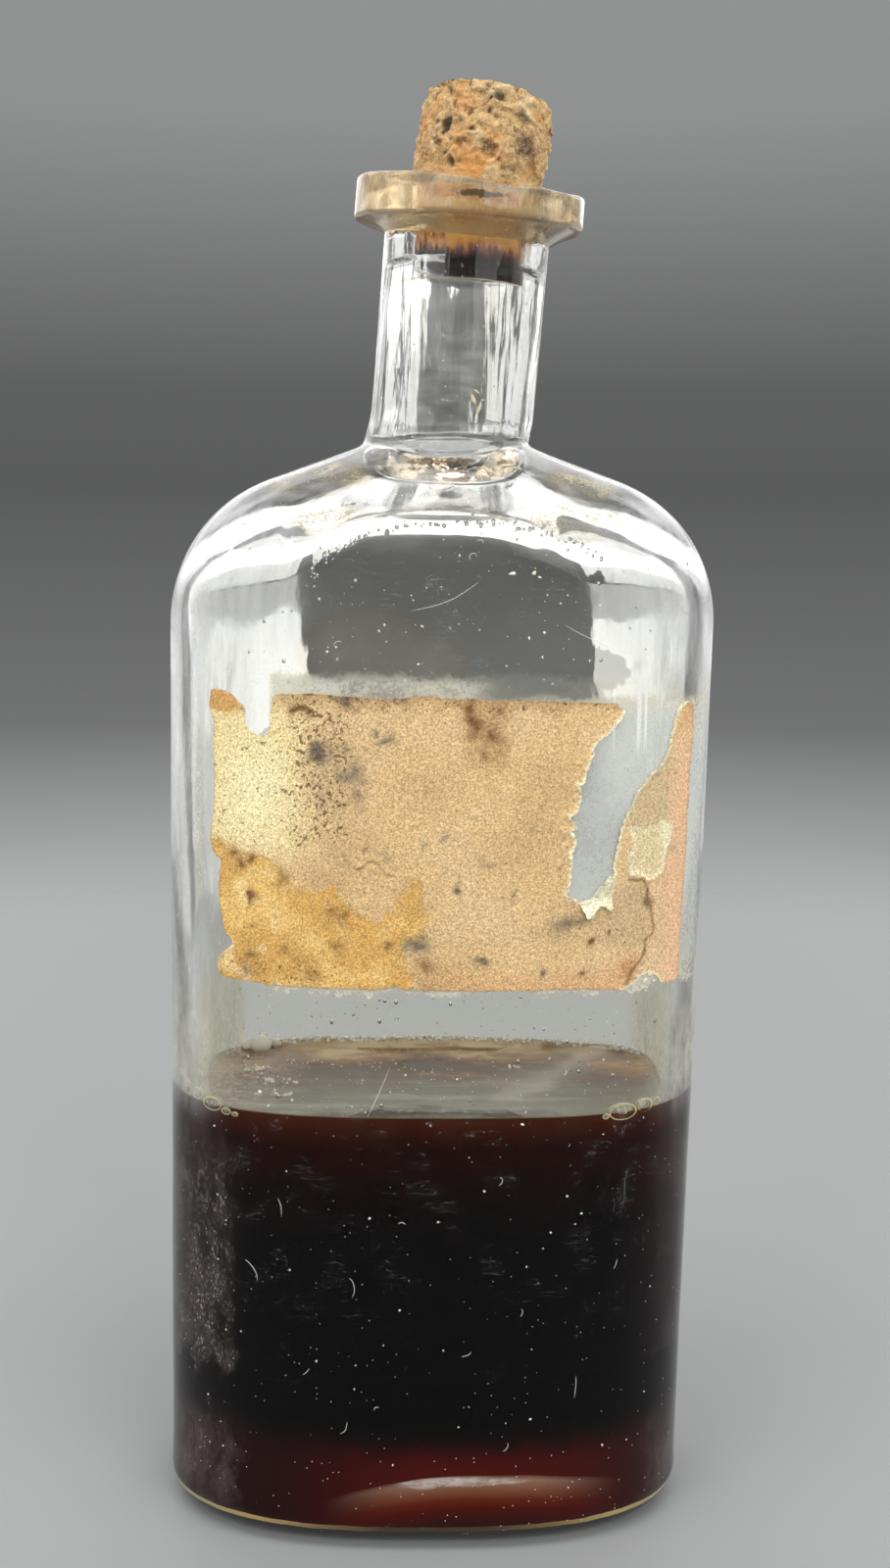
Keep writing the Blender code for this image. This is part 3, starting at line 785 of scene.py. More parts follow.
def speck_layers(web, z, broad):
    """Scratches, rubbed streaks, dust and larger flecks."""
    clean = z.step_mm(12, 60, 0.0, 1.0)
    scratch = web.noise(0.5, 1.0, 0.5, (0.9, 0.4, 0.05), (0.3, 0, 0))
    scratch = abs(scratch - 0.5).step(0.006, 0.002) * broad.step(0.58, 0.68) * clean
    rubbed = web.noise(0.55, 2.0, 0.5, (0.10, 0.4, 1.0), (0.3, 0, 0))
    rubbed = abs(rubbed - 0.5).step(0.01, 0.003) * broad.step(0.5, 0.62) * clean
    dust = web.most(web.specks(1.3, 0.06, 0.40), web.specks(1.0, 0.1, 0.42) * z.step_mm(136, 142))
    return [
        (scratch, 0.14, (0.9, 0.9, 0.88)),
        (rubbed, 0.12, (0.9, 0.9, 0.88)),
        (dust, 0.8, (0.9, 0.89, 0.85)),
        (web.specks(0.75, 0.10, 0.22), 0.7, (0.92, 0.91, 0.88)),
        (web.specks(5.5, 0.032, 0.5), 0.92, (0.5, 0.4, 0.24)),
    ]


def outside_glass():
    """The outer skin: clear glass with its films and painted highlights, the dark depth with a painted glow
    and glint, glue and soil, painted shade and a painted highlight line at the foot, and dust.
    """
    web = Finish("glass_outside")
    x, y, z = web.axes()
    fine = web.noise(0.6, 5.0, 0.68)
    broad = web.noise(4.5, 3.0, 0.55)
    wander = fine.sway(3.0) + broad.sway(3.4)
    low = low_layers(web, x, y, z, fine, broad, wander)
    layers = film_and_highlight_layers(web, x, y, z, fine, broad) + low
    layers += glue_layers(web, x, y, z, fine, broad, wander)
    layers += heel_shade_and_highlight_layers(web, x, z, fine, broad) + speck_layers(web, z, broad)
    deep = low[-1][0]
    dirt_and_painted_light_layers(web, layers, 0.012, deep * DEEP_COVER)
    web.set(IOR=GLASS_IOR, Specular_Tint=(0.3, 0.3, 0.3))
    drawn = web.noise(1.3, 3.0, 0.6, (1.0, 1.0, 0.05))
    ripples = web.noise(3.2, 2.0, 0.5, (1.0, 1.0, 0.55)) + drawn * z.step_mm(140, 152, 0.04, 0.55)
    web.bump(ripples, 0.06 * MM, 0.6)
    return web.material


# Where the cork's soaked foot meets the bore, in millimetres over the table.
CORK_FOOT_HEIGHT = 167.92


def inside_glass():
    """The dry inner wall: a tide line over the liquid, dried residue with a painted bright refraction at the
    sides, droplets, runs, and syrup round the cork's foot with a painted highlight line along its lower edge.
    """
    web = Finish("glass_inside")
    x, y, z = web.axes()
    fine = web.noise(0.8, 4.0, 0.65)
    broad = web.noise(5.0, 2.0, 0.5)
    level = z + broad.sway(0.9)
    tide = level.step_mm(60.65, 60.35) * y.step_mm(-2, 6)
    drops = web.specks(1.6, 0.12, 0.4) * z.step_mm(80, 62)
    runs = web.noise(0.8, 4.0, 0.65, (1.0, 1.0, 0.04)).step(0.52, 0.7) * z.step_mm(147, 152)
    streaked = web.noise(0.9, 3.0, 0.65, (1.0, 1.0, 0.16))
    above_foot = z - (CORK_FOOT_HEIGHT * MM - (x * 0.04 + fine.sway(0.35)))
    near = y.step_mm(-1, -3)
    side = x + fine.sway(0.5)
    side = side.step_mm(0.95, 1.15) * side.step_mm(9.5, 8.9) * near
    tar = above_foot.step_mm(-0.08, 0.1) * side * z.step_mm(177.5, 176.5)
    far = x.step_mm(-3, 0) * x.step_mm(10.2, 8.6) * y.step_mm(1, 3)
    far = far * above_foot.step_mm(2.7, 3.6) * streaked.step(0.3, 0.6, 0.5, 1.0)
    # A painted highlight line along the syrup's lower edge.
    ledge_highlight = abs(above_foot + 0.14 * MM).step_mm(0.16, 0.06) * (near * x.step_mm(9.5, 8.5))
    drip = above_foot + streaked.sway(3.4)
    syrup = web.ramp(drip * 160.0, [
        (0.0, (0.03, 0.014, 0.006)), (0.08, (0.008, 0.003, 0.002)), (0.36, (0.012, 0.004, 0.002)),
        (0.46, (0.08, 0.013, 0.003)), (0.56, (0.26, 0.07, 0.01)), (0.66, (0.76, 0.33, 0.055)),
        (0.85, (1.0, 0.54, 0.11)),
    ])
    dust = web.specks(1.7, 0.05, 0.4)
    # Dried residue on the sides above the liquid, with a painted bright refraction.
    sides = abs(x - 0.5 * MM) - fine.sway(2.0)
    residue_and_highlight = sides.step_mm(26.5, 31.0) * (z - broad * (12 * MM)).step_mm(74, 56)
    residue_and_highlight = residue_and_highlight * web.noise(1.2, 5.0, 0.7, (1.0, 1.0, 0.35)).step(0.34, 0.62, 0.3, 1.0)
    dirt_and_painted_light_layers(web, [
        (residue_and_highlight, 0.50, (0.98, 0.95, 0.76)),
        (runs, 0.16, (0.80, 0.78, 0.72)),
        (far, 0.55, (0.10, 0.075, 0.08)),
        (ledge_highlight, 0.45, (0.72, 0.64, 0.44)),
        (tar, 0.97, syrup),
        (tide, 0.42, (1.00, 0.96, 0.82)),
        (drops, 0.40, (0.78, 0.74, 0.62)),
        (dust, 0.6, (0.88, 0.86, 0.82)),
    ], 0.01)
    web.set(IOR=GLASS_IOR, Specular_Tint=(0.2, 0.2, 0.2))
    drawn = web.noise(0.9, 3.0, 0.6, (1.0, 1.0, 0.04))
    web.bump(drawn * z.step_mm(140, 150), 0.08 * MM, 0.6)
    return web.material


def wet_glass():
    """The wetted inner wall: a painted olive glow at the top, black in the middle, a painted red glow over
    the pushed-up base and a painted brown glow at the thin ends.
    """
    web = Finish("glass_wetted")
    x, y, z = web.axes()
    broad = web.noise(6.0, 3.0, 0.6)
    fine = web.noise(0.8, 4.0, 0.65)
    sway = (broad - 0.5) * z.step_mm(60, 48, 1.5 * MM, 9.0 * MM)
    soft = z + sway + fine.sway(1.0)
    # Painted red glow low down and painted olive glow near the level, black between.
    tone = web.ramp(soft * 16.0, [
        (0.0, (0.06, 0.008, 0.004)), (0.05, (0.12, 0.013, 0.005)), (0.1, (0.16, 0.013, 0.004)),
        (0.16, (0.105, 0.008, 0.003)), (0.21, (0.04, 0.003, 0.002)), (0.28, (0.006, 0.002, 0.001)),
        (0.7, (0.004, 0.001, 0.001)), (0.8, (0.028, 0.003, 0.001)), (0.856, (0.06, 0.01, 0.003)),
        (0.893, (0.066, 0.009, 0.003)), (0.915, (0.125, 0.037, 0.006)), (0.935, (0.215, 0.115, 0.024)),
        (0.952, (0.3, 0.2, 0.08)),
    ])
    # A painted brown glow where the liquid is thin at the ends.
    thin_end_glow = abs(x).step_mm(23, 34) * fine.step(0.25, 0.75, 0.75, 1.0)
    brown = web.mix(soft.step_mm(10, 56), (0.06, 0.014, 0.007), (0.11, 0.03, 0.01))
    tone = web.mix(thin_end_glow * 0.75, tone, brown)
    foam = z.step_mm(59.2, 59.5) * y.step_mm(0, 7, 0.0, 0.55)
    bubbly = web.cells(0.42)[0].step(0.1, 0.26)
    tone = web.mix(foam * 0.95, tone, web.mix(bubbly, (0.98, 0.93, 0.8), (0.84, 0.7, 0.46)))
    silt = web.specks(2.2, 0.05, 0.5) * z.step_mm(8, 14)
    tone = web.mix(silt * 0.6, tone, (0.42, 0.36, 0.28))
    cover = web.most(soft.step_mm(20, 12, 0.62, 0.85), foam * 0.92)
    web.set(Base_Color=tone, Transmission_Weight=1.0 - cover, IOR=GLASS_IOR / WET_IOR)
    web.set(Roughness=cover.step(0.6, 0.95, 0.35, 0.55))
    return web.material


def lip_glass():
    """The lip: greasy glass, painted tan for the cork seen through it, with a painted dark reflection in
    brown patches under the rim.
    """
    web = Finish("glass_lip")
    x, y, z = web.axes()
    fine = web.noise(0.5, 4.0, 0.7)
    broad = web.noise(3.2, 3.0, 0.55)
    brushed = web.noise(0.35, 2.0, 0.5, (1.0, 1.0, 0.22))
    # Painted see-through of the cork: tan, lighter at the left and right, darker in the middle.
    tone = web.ramp(x * 26.0 + broad * 0.45, [
        (0.0, (0.93, 0.67, 0.33)), (0.22, (0.8, 0.57, 0.28)), (0.45, (0.62, 0.45, 0.22)),
        (0.8, (0.84, 0.63, 0.37)),
    ])
    tone = web.mix(brushed.step(0.4, 0.7), tone, (0.88, 0.74, 0.5))
    deep = y / LIP_RADIUS
    nod = deep * (NOD_DROP * MM) - deep * deep * (NOD_DISH * MM)
    tilt = z + x * math.tan(NECK_LEAN) - nod
    # Painted dark reflection in patches under the rim.
    under_rim_reflection = tilt.step_mm(177.2, 175.8) * (broad + fine).step(0.74, 1.02)
    under_rim_reflection = under_rim_reflection * abs(x - 2.0 * MM).step_mm(6.0, 10.5)
    away = ((x - 5.0 * MM) / (4.4 * MM)) ** 2.0 + ((tilt - 178.75 * MM) / (0.62 * MM)) ** 2.0
    grime = (away + fine * 2.4).step(1.95, 1.45) * y.step_mm(-8, -11)
    olive = tilt.step_mm(178.1, 177.4) * abs(x - 5.0 * MM).step_mm(9.5, 6.5)
    olive = olive * y.step_mm(-4, -8) * brushed.step(0.34, 0.62, 0.35, 1.0)
    tone = web.mix(olive * 0.9, tone, (0.36, 0.27, 0.13))
    tone = web.mix(under_rim_reflection * 0.75, tone, (0.13, 0.085, 0.045))
    tone = web.mix(grime * 0.95, tone, (0.06, 0.036, 0.016))
    dots = web.specks(1.5, 0.09, 0.4)
    tone = web.mix(dots * 0.85, tone, (0.14, 0.08, 0.035))
    solid = web.most(grime, dots, under_rim_reflection * 0.7, olive * 0.62)
    clear = (broad + fine * 0.3).step(0.45, 0.85, 0.58, 0.9) * (1.0 - solid)
    web.set(Base_Color=tone, Transmission_Weight=clear, Roughness=fine.step(0.3, 0.7, 0.04, 0.16))
    web.set(IOR=GLASS_IOR, Specular_Tint=(0.6, 0.6, 0.6))
    web.bump(brushed * 0.35 + broad, 0.1 * MM, 0.7)
    return web.material


def build_glass():
    foot, body, neck, lip = outer_wall()
    floor, inside, bore = inner_wall()
    edge = WET_TOP + 0.05 * MM
    wet = floor + [points for points in inside if points[:, 2].mean() < edge]
    dry = [points for points in inside if points[:, 2].mean() >= edge]
    inner = mouth_cone() + list(reversed(bore)) + list(reversed(dry))
    groups = [foot + body + neck, lip + mouth_edge(), inner, list(reversed(wet))]
    materials = [outside_glass(), lip_glass(), inside_glass(), wet_glass()]
    loft("bottle_glass", body_centre(PUSH_UP_HEIGHT), groups, body_centre(FLOOR_THICKNESS + PUSH_UP_HEIGHT),
         materials, "glass_bottle")


def liquid_top(inset, drop, level_shares):
    """Rings of the liquid's surface from the wall inwards, climbing the wall in a meniscus."""
    half_width, half_depth = BODY_WIDTH / 2 - inset, BODY_DEPTH / 2 - inset
    rings = []
    for tuck, rise in MENISCUS:
        level = LIQUID_LEVEL + rise * MM - drop
        points = body_ring(level, half_width, half_depth, INNER_SQUARENESS)
        inner_wave([points])
        centre = body_centre(level)
        for index in range(ROUND):
            flat = Vector((points[index, 0] - centre.x, points[index, 1] - centre.y, 0))
            flat -= flat.normalized() * tuck * MM
            points[index, 0], points[index, 1] = centre.x + flat.x, centre.y + flat.y
        rings.append(points)
    for share in level_shares:
        rings.append(body_ring(LIQUID_LEVEL - drop, half_width * share, half_depth * share, INNER_SQUARENESS))
    return rings


def tincture(name, ior):
    """Dark red-brown tincture: amber where thin, black in its depth."""
    web = Finish(name)
    web.set(Base_Color=(0.46, 0.115, 0.035), Roughness=0.0, Transmission_Weight=1.0, IOR=ior)
    return web


def build_liquid():
    inset = WALL_THICKNESS - LIQUID_OVERLAP
    floor_height = FLOOR_THICKNESS - LIQUID_OVERLAP
    drop = 0.03 * MM
    rings = inner_floor_rings(inset, floor_height) + inner_body(inset, floor_height, LIQUID_LEVEL)
    rings += liquid_top(inset, drop, (0.75, 0.5, 0.25))
    web = tincture("tincture_depth", 1.0)
    absorb = web.node("VolumeAbsorption", Color=(0.62, 0.12, 0.02), Density=330.0)
    web.tree.links.new(absorb.outputs[0], web.tree.nodes["Material Output"].inputs["Volume"])
    loft("tincture", body_centre(floor_height + PUSH_UP_HEIGHT), [rings], body_centre(LIQUID_LEVEL - drop),
         [web.material], "liquid")
    build_surface(liquid_top(inset, 0.0, (0.8, 0.6, 0.4, 0.2)))


def surface_finish():
    """The liquid's skin: dust, a dull painted sheen and streaks, golden where it climbs the back."""
    web = tincture("tincture_top", LIQUID_IOR)
    x, y, z = web.axes()
    swirl = web.noise(7, 4.0, 0.6, (0.6, 1.2, 1.0))
    streaks = web.noise(2.2, 4.0, 0.65, (0.16, 1.0, 1.0), (0, 0, 0.25))
    mottle = web.noise(1.0, 4.0, 0.7)
    skin = web.ramp(y * 28.0 + (swirl - 0.5) * 0.9 + 0.5, [
        (0.02, (0.3, 0.26, 0.18)), (0.18, (0.46, 0.42, 0.34)), (0.4, (0.36, 0.29, 0.23)),
        (0.64, (0.28, 0.18, 0.12)), (0.82, (0.6, 0.34, 0.15)), (0.95, (0.92, 0.68, 0.38)),
    ])
    skin = web.mix(streaks.step(0.5, 0.66) * y.step_mm(4, -9, 0.0, 0.7), skin, (0.66, 0.65, 0.57))
    # A painted sheen in a diagonal streak.
    across = x - 14.5 * MM - y * 0.62 + swirl.sway(9)
    painted_sheen = abs(across).step_mm(9.5, 0.0) * y.step_mm(-16, -6)
    skin = web.mix(painted_sheen * 0.55, skin, (0.66, 0.6, 0.53))
    left = x.step_mm(-15, -26) * mottle.step(0.42, 0.6, 0.3, 1.0)
    skin = web.mix(left * 0.75, skin, (0.74, 0.62, 0.52))
    dust = web.specks(0.9, 0.12, 0.45) * x.step_mm(4, -14, 0.3, 1.0)
    dust = web.most(dust, web.specks(0.5, 0.16, 0.5) * x.step_mm(-12, -22))
    skin = web.mix(dust, skin, (0.95, 0.94, 0.88))
    climb = z.step(LIQUID_LEVEL + 0.06 * MM, LIQUID_LEVEL + 0.4 * MM) * y.step_mm(2, 9)
    gold = web.mix(mottle.step(0.4, 0.58), (0.86, 0.72, 0.46), (1.0, 0.96, 0.84))
    skin = web.mix(climb, skin, gold)
    cover = web.most(swirl.step(0.32, 0.7, 0.56, 0.74), dust * 0.95, left * 0.8, painted_sheen * 0.85, climb * 0.6)
    web.set(Base_Color=skin, Transmission_Weight=1.0 - cover, Roughness=cover * 0.3)
    web.bump(swirl + mottle * 0.25, 0.1 * MM, 0.6)
    return web.material


def build_surface(rings):
    """The open top of the liquid."""
    verts = [point for points in rings for point in points] + [body_centre(LIQUID_LEVEL)]
    faces = []
    for row in range(len(rings) - 1):
        faces += quads(row * ROUND, (row + 1) * ROUND, ROUND)
    faces += fan(len(verts) - 1, (len(rings) - 1) * ROUND, ROUND)
    add_piece("tincture_surface", verts, faces, [surface_finish()])


def cork_shape(local, angle, share, distance, top):
    """Where a point of the cork moves to, how deep in a pit it lies, and how high the bark stands there."""
    free = float(smooth(MOUTH_DEPTH - 0.4 * MM, MOUTH_DEPTH + 1.2 * MM, distance))
    bent = local + Vector([ripple(local, 1.6 * MM, seed) for seed in (31, 32, 33)]) * 0.5 * MM
    lump = 0.46 * ripple(bent, 3.2 * MM, 21) + 0.42 * ripple(bent, 1.4 * MM, 22)
    lump += 0.34 * ripple(bent, 0.7 * MM, 23)
    grain = ripple((local.x, local.y, local.z * 0.6), 0.36 * MM, 27)
    fold = 1 - abs(ripple(bent, 1.8 * MM, 34)) * 3.2
    hole = max(0.0, ripple(bent, 2.3 * MM, 24) - 0.40) * 2.2
    hole += max(0.0, ripple(bent, 1.0 * MM, 25) - 0.34) * 1.5
    hole += max(0.0, fold) ** 4 * 0.16
    if local.y < 0:
        away = ((local.x + 5.3 * MM) / (0.5 * MM)) ** 2 + ((local.z - 15.9 * MM) / (1.0 * MM)) ** 2
        hole += 1.3 * math.exp(-away)
    hole = min(1.0, hole)
    move = (lump * 1.25 + grain * 0.34 - 0.45) * 0.62 * MM - hole * 0.80 * MM
    move = max(move, -1.25 * MM) * (0.08 + 0.92 * free)
    outward = Vector((math.cos(angle), math.sin(angle), 0))
    result = local.copy()
    if distance >= top - 1e-9:
        broken = (lump * 0.9 + grain * 0.35 - 0.55) * 0.9 * MM - hole * 0.8 * MM
        broken -= 0.45 * MM * share ** 10 * (1 - around(angle, math.pi, 1.1))
        broken += 0.25 * MM * share ** 4 * around(angle, 3.3, 0.5)
        broken -= max(0.0, local.x - 4.8 * MM) * 0.34 + 0.3 * MM * (1 - share) + 0.32 * MM
        result.z += broken
        result += outward * move * share
    else:
        result.z += ripple(local, 2.2 * MM, 26) * 0.3 * MM * free
        result += outward * move
    return result, hole * free, lump


def cork_radius(distance, angle):
    """How wide the cork is so far up and at one bearing: it fits the mouth and bulges above it."""
    if distance <= MOUTH_DEPTH:
        return mouth_radius(distance) - CORK_CLEARANCE * 0.8
    along = (distance - MOUTH_DEPTH) / CORK_HEAD_HEIGHT
    bulge = math.sin(math.pi * min(1.0, 0.12 + along * 0.9)) ** 0.8
    return (8.10 + 0.85 * bulge) * MM * (1.0 - 0.055 * around(angle, 0.0, 0.9) * (1 - along))


def build_cork():
    """The cork, crumbling and pitted, its top broken off unevenly and its foot soaked black."""
    count = 240
    top = MOUTH_DEPTH + CORK_HEAD_HEIGHT
    tilt = Matrix.Rotation(MOUTH_LEAN, 3, "Y")
    base = mouth_frame(0.0)
    profile = [(share, 0.0) for share in (0.12, 0.3, 0.5, 0.7, 0.85, 0.94)]
    profile += [(1.0, distance) for distance in np.linspace(0.15 * MM, top - 0.5 * MM, 120)]
    profile += [(share, top) for share in (0.995, 0.985, 0.97, *np.linspace(0.945, 0.05, 32))]
    rings, pits, heights, rises = [], [0.0], [0.0], [0.0]
    for share, distance in profile:
        points = np.zeros((count, 3))
        for index in range(count):
            angle = 2 * math.pi * index / count
            reach = cork_radius(distance, angle) * share
            local = Vector((reach * math.cos(angle), reach * math.sin(angle), distance))
            moved, pit, lump = cork_shape(local, angle, share, distance, top)
            points[index] = base + tilt @ moved
            pits.append(pit)
            heights.append(distance)
            rises.append(lump)
        rings.append(points)
    cork = loft("cork_bark", base, [rings], base + tilt @ Vector((0, 0, top - 1.0 * MM)), [cork_finish()],
                "cork_stopper", "cork")
    add_layer(cork, "pit", pits + [0.0])
    add_layer(cork, "along", heights + [top])
    add_layer(cork, "rise", rises + [0.0])


# Dark spots on the cork's front: across, height, half width, half height in millimetres.
CORK_SPOTS = [(10.8, 183.7, 1.9, 2.1), (10.4, 187.4, 1.0, 1.2), (6.0, 183.9, 1.4, 1.2),
              (2.3, 184.4, 0.8, 1.0), (-0.3, 185.0, 0.6, 0.6), (3.8, 188.2, 0.7, 0.5), (8.4, 181.0, 0.8, 0.7)]


def cork_finish():
    """Old cork: painted highlights on the crests, painted shade in the pits, grey-black mould and spots,
    rusty patches, an amber band in the neck and a black foot.
    """
    web = Finish("cork_bark")
    pit, along, rise = web.attribute("pit"), web.attribute("along"), web.attribute("rise")
    fine = web.noise(0.24, 4.0, 0.7)
    mid = web.noise(0.9, 4.0, 0.7)
    broad = web.noise(3.0, 3.0, 0.6)
    tone = web.ramp(fine, [
        (0.28, (0.30, 0.165, 0.062)), (0.45, (0.58, 0.37, 0.165)), (0.58, (0.74, 0.51, 0.26)),
        (0.72, (0.88, 0.68, 0.40)),
    ])
    tone = web.mix(broad.step(0.48, 0.64, 0.0, 0.65), tone, (0.66, 0.31, 0.095))
    tone = web.mix(mid.step(0.46, 0.34, 0.0, 0.6), tone, (0.3, 0.165, 0.07))
    # Painted highlights on the crests of the bark.
    tone = web.mix(rise.step(0.1, 0.45, 0.0, 0.55), tone, (0.9, 0.72, 0.44))
    x, y, z = web.axes()
    front = y.step_mm(1, -2)
    u, v = x + mid.sway(3.0), z + broad.sway(4.0)
    spots = patch(u, v, CORK_SPOTS) * front * fine.step(0.66, 0.4, 0.25, 1.0)
    rust = patch(u, v, [(4.5, 181.7, 3.4, 2.0), (2.0, 184.0, 1.2, 1.4)]) * front
    tone = web.mix(rust * 0.65, tone, (0.78, 0.36, 0.1))
    mould = web.noise(2.3, 5.0, 0.72).step(0.57, 0.68) * mid.step(0.6, 0.42)
    # Painted shade in the pits, with the real mould and dark spots.
    dark = web.most(pit.step(0.12, 0.7), web.most(mould, spots) * 0.85)
    tone = web.mix(dark * 0.9, tone, (0.06, 0.05, 0.04))
    streak = web.noise(0.9, 3.0, 0.65, (1.0, 1.0, 0.16))
    level = along + streak.sway(6.0)
    amber = web.mix(streak.step(0.36, 0.56), (0.46, 0.14, 0.016), (0.95, 0.45, 0.075))
    tone = web.mix(along.step_mm(9.2, 7.0), tone, amber)
    tone = web.mix(level.step_mm(1.6, 0.6), tone, (0.24, 0.05, 0.01))
    tone = web.mix(level.step_mm(0.9, 0.2), tone, (0.03, 0.012, 0.006))
    tone = web.mix(along.step_mm(0.5, 0.1), tone, (0.02, 0.01, 0.007))
    web.set(Base_Color=tone, Roughness=fine.step(0.3, 0.7, 0.8, 0.95), Specular_IOR_Level=0.25)
    web.bump(fine * 0.7 + mid * 0.9 - dark * 0.5, 0.32 * MM, 0.9)
    return web.material


# The label's torn outline in millimetres: across from the body's middle line, and height.
LABEL_TOP = [(-29.1, 115.8), (-28.2, 115.8), (-27.2, 115.6), (-26.3, 115.2), (-25.7, 114.4), (-24.9, 113.8),
             (-24.6, 113.0), (-24.9, 112.0), (-24.5, 111.2), (-23.8, 110.5), (-22.9, 110.1), (-22.0, 110.3),
             (-21.6, 111.0), (-21.4, 112.0), (-21.3, 113.4), (-21.2, 114.5), (-20.9, 115.2), (-20.3, 115.4),
             (-18.2, 115.5), (-16.6, 115.6), (-12.2, 115.3), (-7.8, 115.1), (-6.5, 115.0), (-4.5, 115.2),
             (-1.8, 115.4), (1.0, 115.1), (7.0, 115.0), (13.3, 114.9), (18.8, 114.7), (22.3, 114.5),
             (22.0, 114.0), (22.6, 113.8), (23.1, 113.5)]
LABEL_TEAR = [(22.9, 112.8), (22.1, 112.0), (21.4, 111.0), (20.3, 110.2), (19.6, 109.5), (19.2, 108.8),
              (19.2, 108.0), (18.9, 107.3), (18.5, 106.2), (18.3, 105.2), (18.0, 104.2), (17.4, 104.4),
              (17.8, 103.8), (17.8, 103.0), (17.6, 101.9), (17.4, 100.9), (16.6, 100.3), (17.2, 99.5),
              (17.3, 98.7), (16.5, 98.3), (17.4, 97.7), (17.4, 96.8), (17.0, 95.7), (17.0, 94.6),
              (16.9, 93.5), (16.9, 92.4), (16.8, 91.4), (16.6, 90.8), (16.2, 90.5), (16.9, 90.0),
              (17.7, 89.6), (18.4, 89.2), (19.3, 88.9), (20.1, 89.0), (20.8, 88.9), (21.6, 89.2),
              (22.0, 90.0), (22.1, 90.8), (22.4, 91.9), (22.4, 93.0), (22.3, 94.1), (22.5, 95.2),
              (22.8, 96.6), (23.1, 98.2), (23.4, 99.6), (23.9, 100.6), (24.4, 101.7), (24.8, 102.6),
              (25.3, 103.6), (25.9, 104.4), (26.6, 105.2), (27.3, 105.8), (28.0, 106.2), (28.4, 107.0),
              (28.8, 107.8), (29.1, 108.8), (29.4, 110.2), (29.7, 111.5), (29.9, 112.5), (30.4, 113.4),
              (30.9, 114.2)]
LABEL_RIGHT = [(31.7, 114.5), (32.4, 114.2), (32.6, 113.2), (32.7, 110.5), (32.6, 106.6), (32.5, 102.4),
               (32.5, 97.6), (32.4, 93.1), (32.3, 88.5), (32.1, 84.0), (32.1, 79.4), (32.0, 77.9),
               (31.4, 77.5), (30.4, 77.4), (29.5, 77.7), (29.0, 78.6), (28.2, 79.1), (27.3, 79.2),
               (26.5, 78.8), (25.8, 78.1), (25.0, 77.7), (24.1, 77.4), (20.1, 77.7), (14.6, 77.9),
               (8.0, 77.9), (1.9, 77.9), (-2.5, 78.0), (-4.3, 78.0), (-4.8, 78.4), (-5.7, 78.4),
               (-6.2, 78.1), (-12.2, 78.0), (-19.6, 78.0), (-20.7, 78.0), (-21.5, 77.6), (-22.2, 78.1),
               (-24.8, 78.3), (-26.6, 78.3), (-27.9, 78.7)]
LABEL_LEFT = [
    (-28.2, 79.5), (-28.2, 80.5), (-27.7, 81.5), (-26.8, 82.2), (-26.2, 83.0), (-26.3, 83.5), (-27.1, 84.2),
    (-27.6, 85.8), (-27.9, 87.5), (-28.2, 89.2), (-28.1, 91.0), (-27.9, 92.7), (-27.9, 93.9), (-28.5, 94.2),
    (-29.0, 94.9), (-29.3, 96.0), (-29.4, 97.0), (-29.1, 97.7), (-29.0, 98.9), (-28.8, 101.8), (-28.8, 104.0),
    (-28.9, 109.4), (-28.7, 111.1), (-29.0, 112.2), (-29.4, 113.0), (-29.4, 114.4),
]
LABEL_OUTLINE = LABEL_TOP + LABEL_TEAR + LABEL_RIGHT + LABEL_LEFT
TEAR_LINE = LABEL_TOP[-1:] + LABEL_TEAR + LABEL_RIGHT[:1]
TORN_FLAP = [(18.2, 89.3), (18.5, 88.2), (19.1, 87.2), (19.8, 87.2), (20.0, 88.0), (20.8, 88.7),
             (21.4, 88.5), (22.3, 87.9), (22.3, 88.6), (22.2, 89.6), (22.3, 90.8), (22.2, 91.9),
             (21.6, 92.7), (21.0, 92.0), (20.3, 90.9), (19.7, 89.9), (19.0, 89.5)]
SKINNED_PATCH = [(24.2, 99.0), (24.9, 98.8), (26.1, 98.8), (27.9, 99.0), (28.4, 99.2), (29.2, 99.2),
                 (30.0, 98.5), (30.2, 97.6), (30.0, 96.5), (29.5, 95.8), (29.4, 94.9), (29.3, 93.5),
                 (29.2, 92.4), (28.5, 92.2), (27.9, 91.7), (27.0, 91.7), (26.4, 92.3), (25.2, 92.7),
                 (24.6, 92.6), (24.5, 93.4), (24.4, 94.5), (24.5, 95.4), (24.9, 96.4), (24.6, 97.6),
                 (24.2, 98.4)]
CREASE = [(25.2, 92.3), (26.4, 91.9), (27.1, 90.4), (27.3, 89.0), (27.5, 87.6), (27.8, 86.1), (27.9, 84.7),
          (27.5, 83.6), (26.8, 82.8), (26.1, 82.1), (25.9, 80.7), (25.3, 79.3), (24.8, 78.2)]
WRINKLE = [(-11.8, 94.7), (-10.8, 93.9), (-9.1, 93.8), (-7.4, 93.3), (-5.9, 93.0)]
HONEY_STAIN = [(-31.0, 96.4), (-27.6, 96.2), (-26.2, 96.3), (-25.2, 95.5), (-22.9, 95.2), (-21.4, 94.4),
               (-20.9, 93.6), (-18.9, 93.1), (-17.7, 91.8), (-16.3, 91.3), (-14.6, 91.6), (-12.7, 91.5),
               (-11.8, 90.6), (-11.4, 89.2), (-10.1, 88.4), (-8.5, 87.8), (-6.8, 87.6), (-5.7, 88.5),
               (-4.8, 89.9), (-4.4, 91.6), (-3.0, 92.0), (-1.3, 91.3), (-0.6, 89.9), (-0.4, 87.9),
               (-0.9, 86.0), (-1.7, 84.2), (-3.4, 83.4), (-3.9, 81.7), (-3.0, 80.2), (-3.3, 76.0),
               (-31.0, 76.0)]
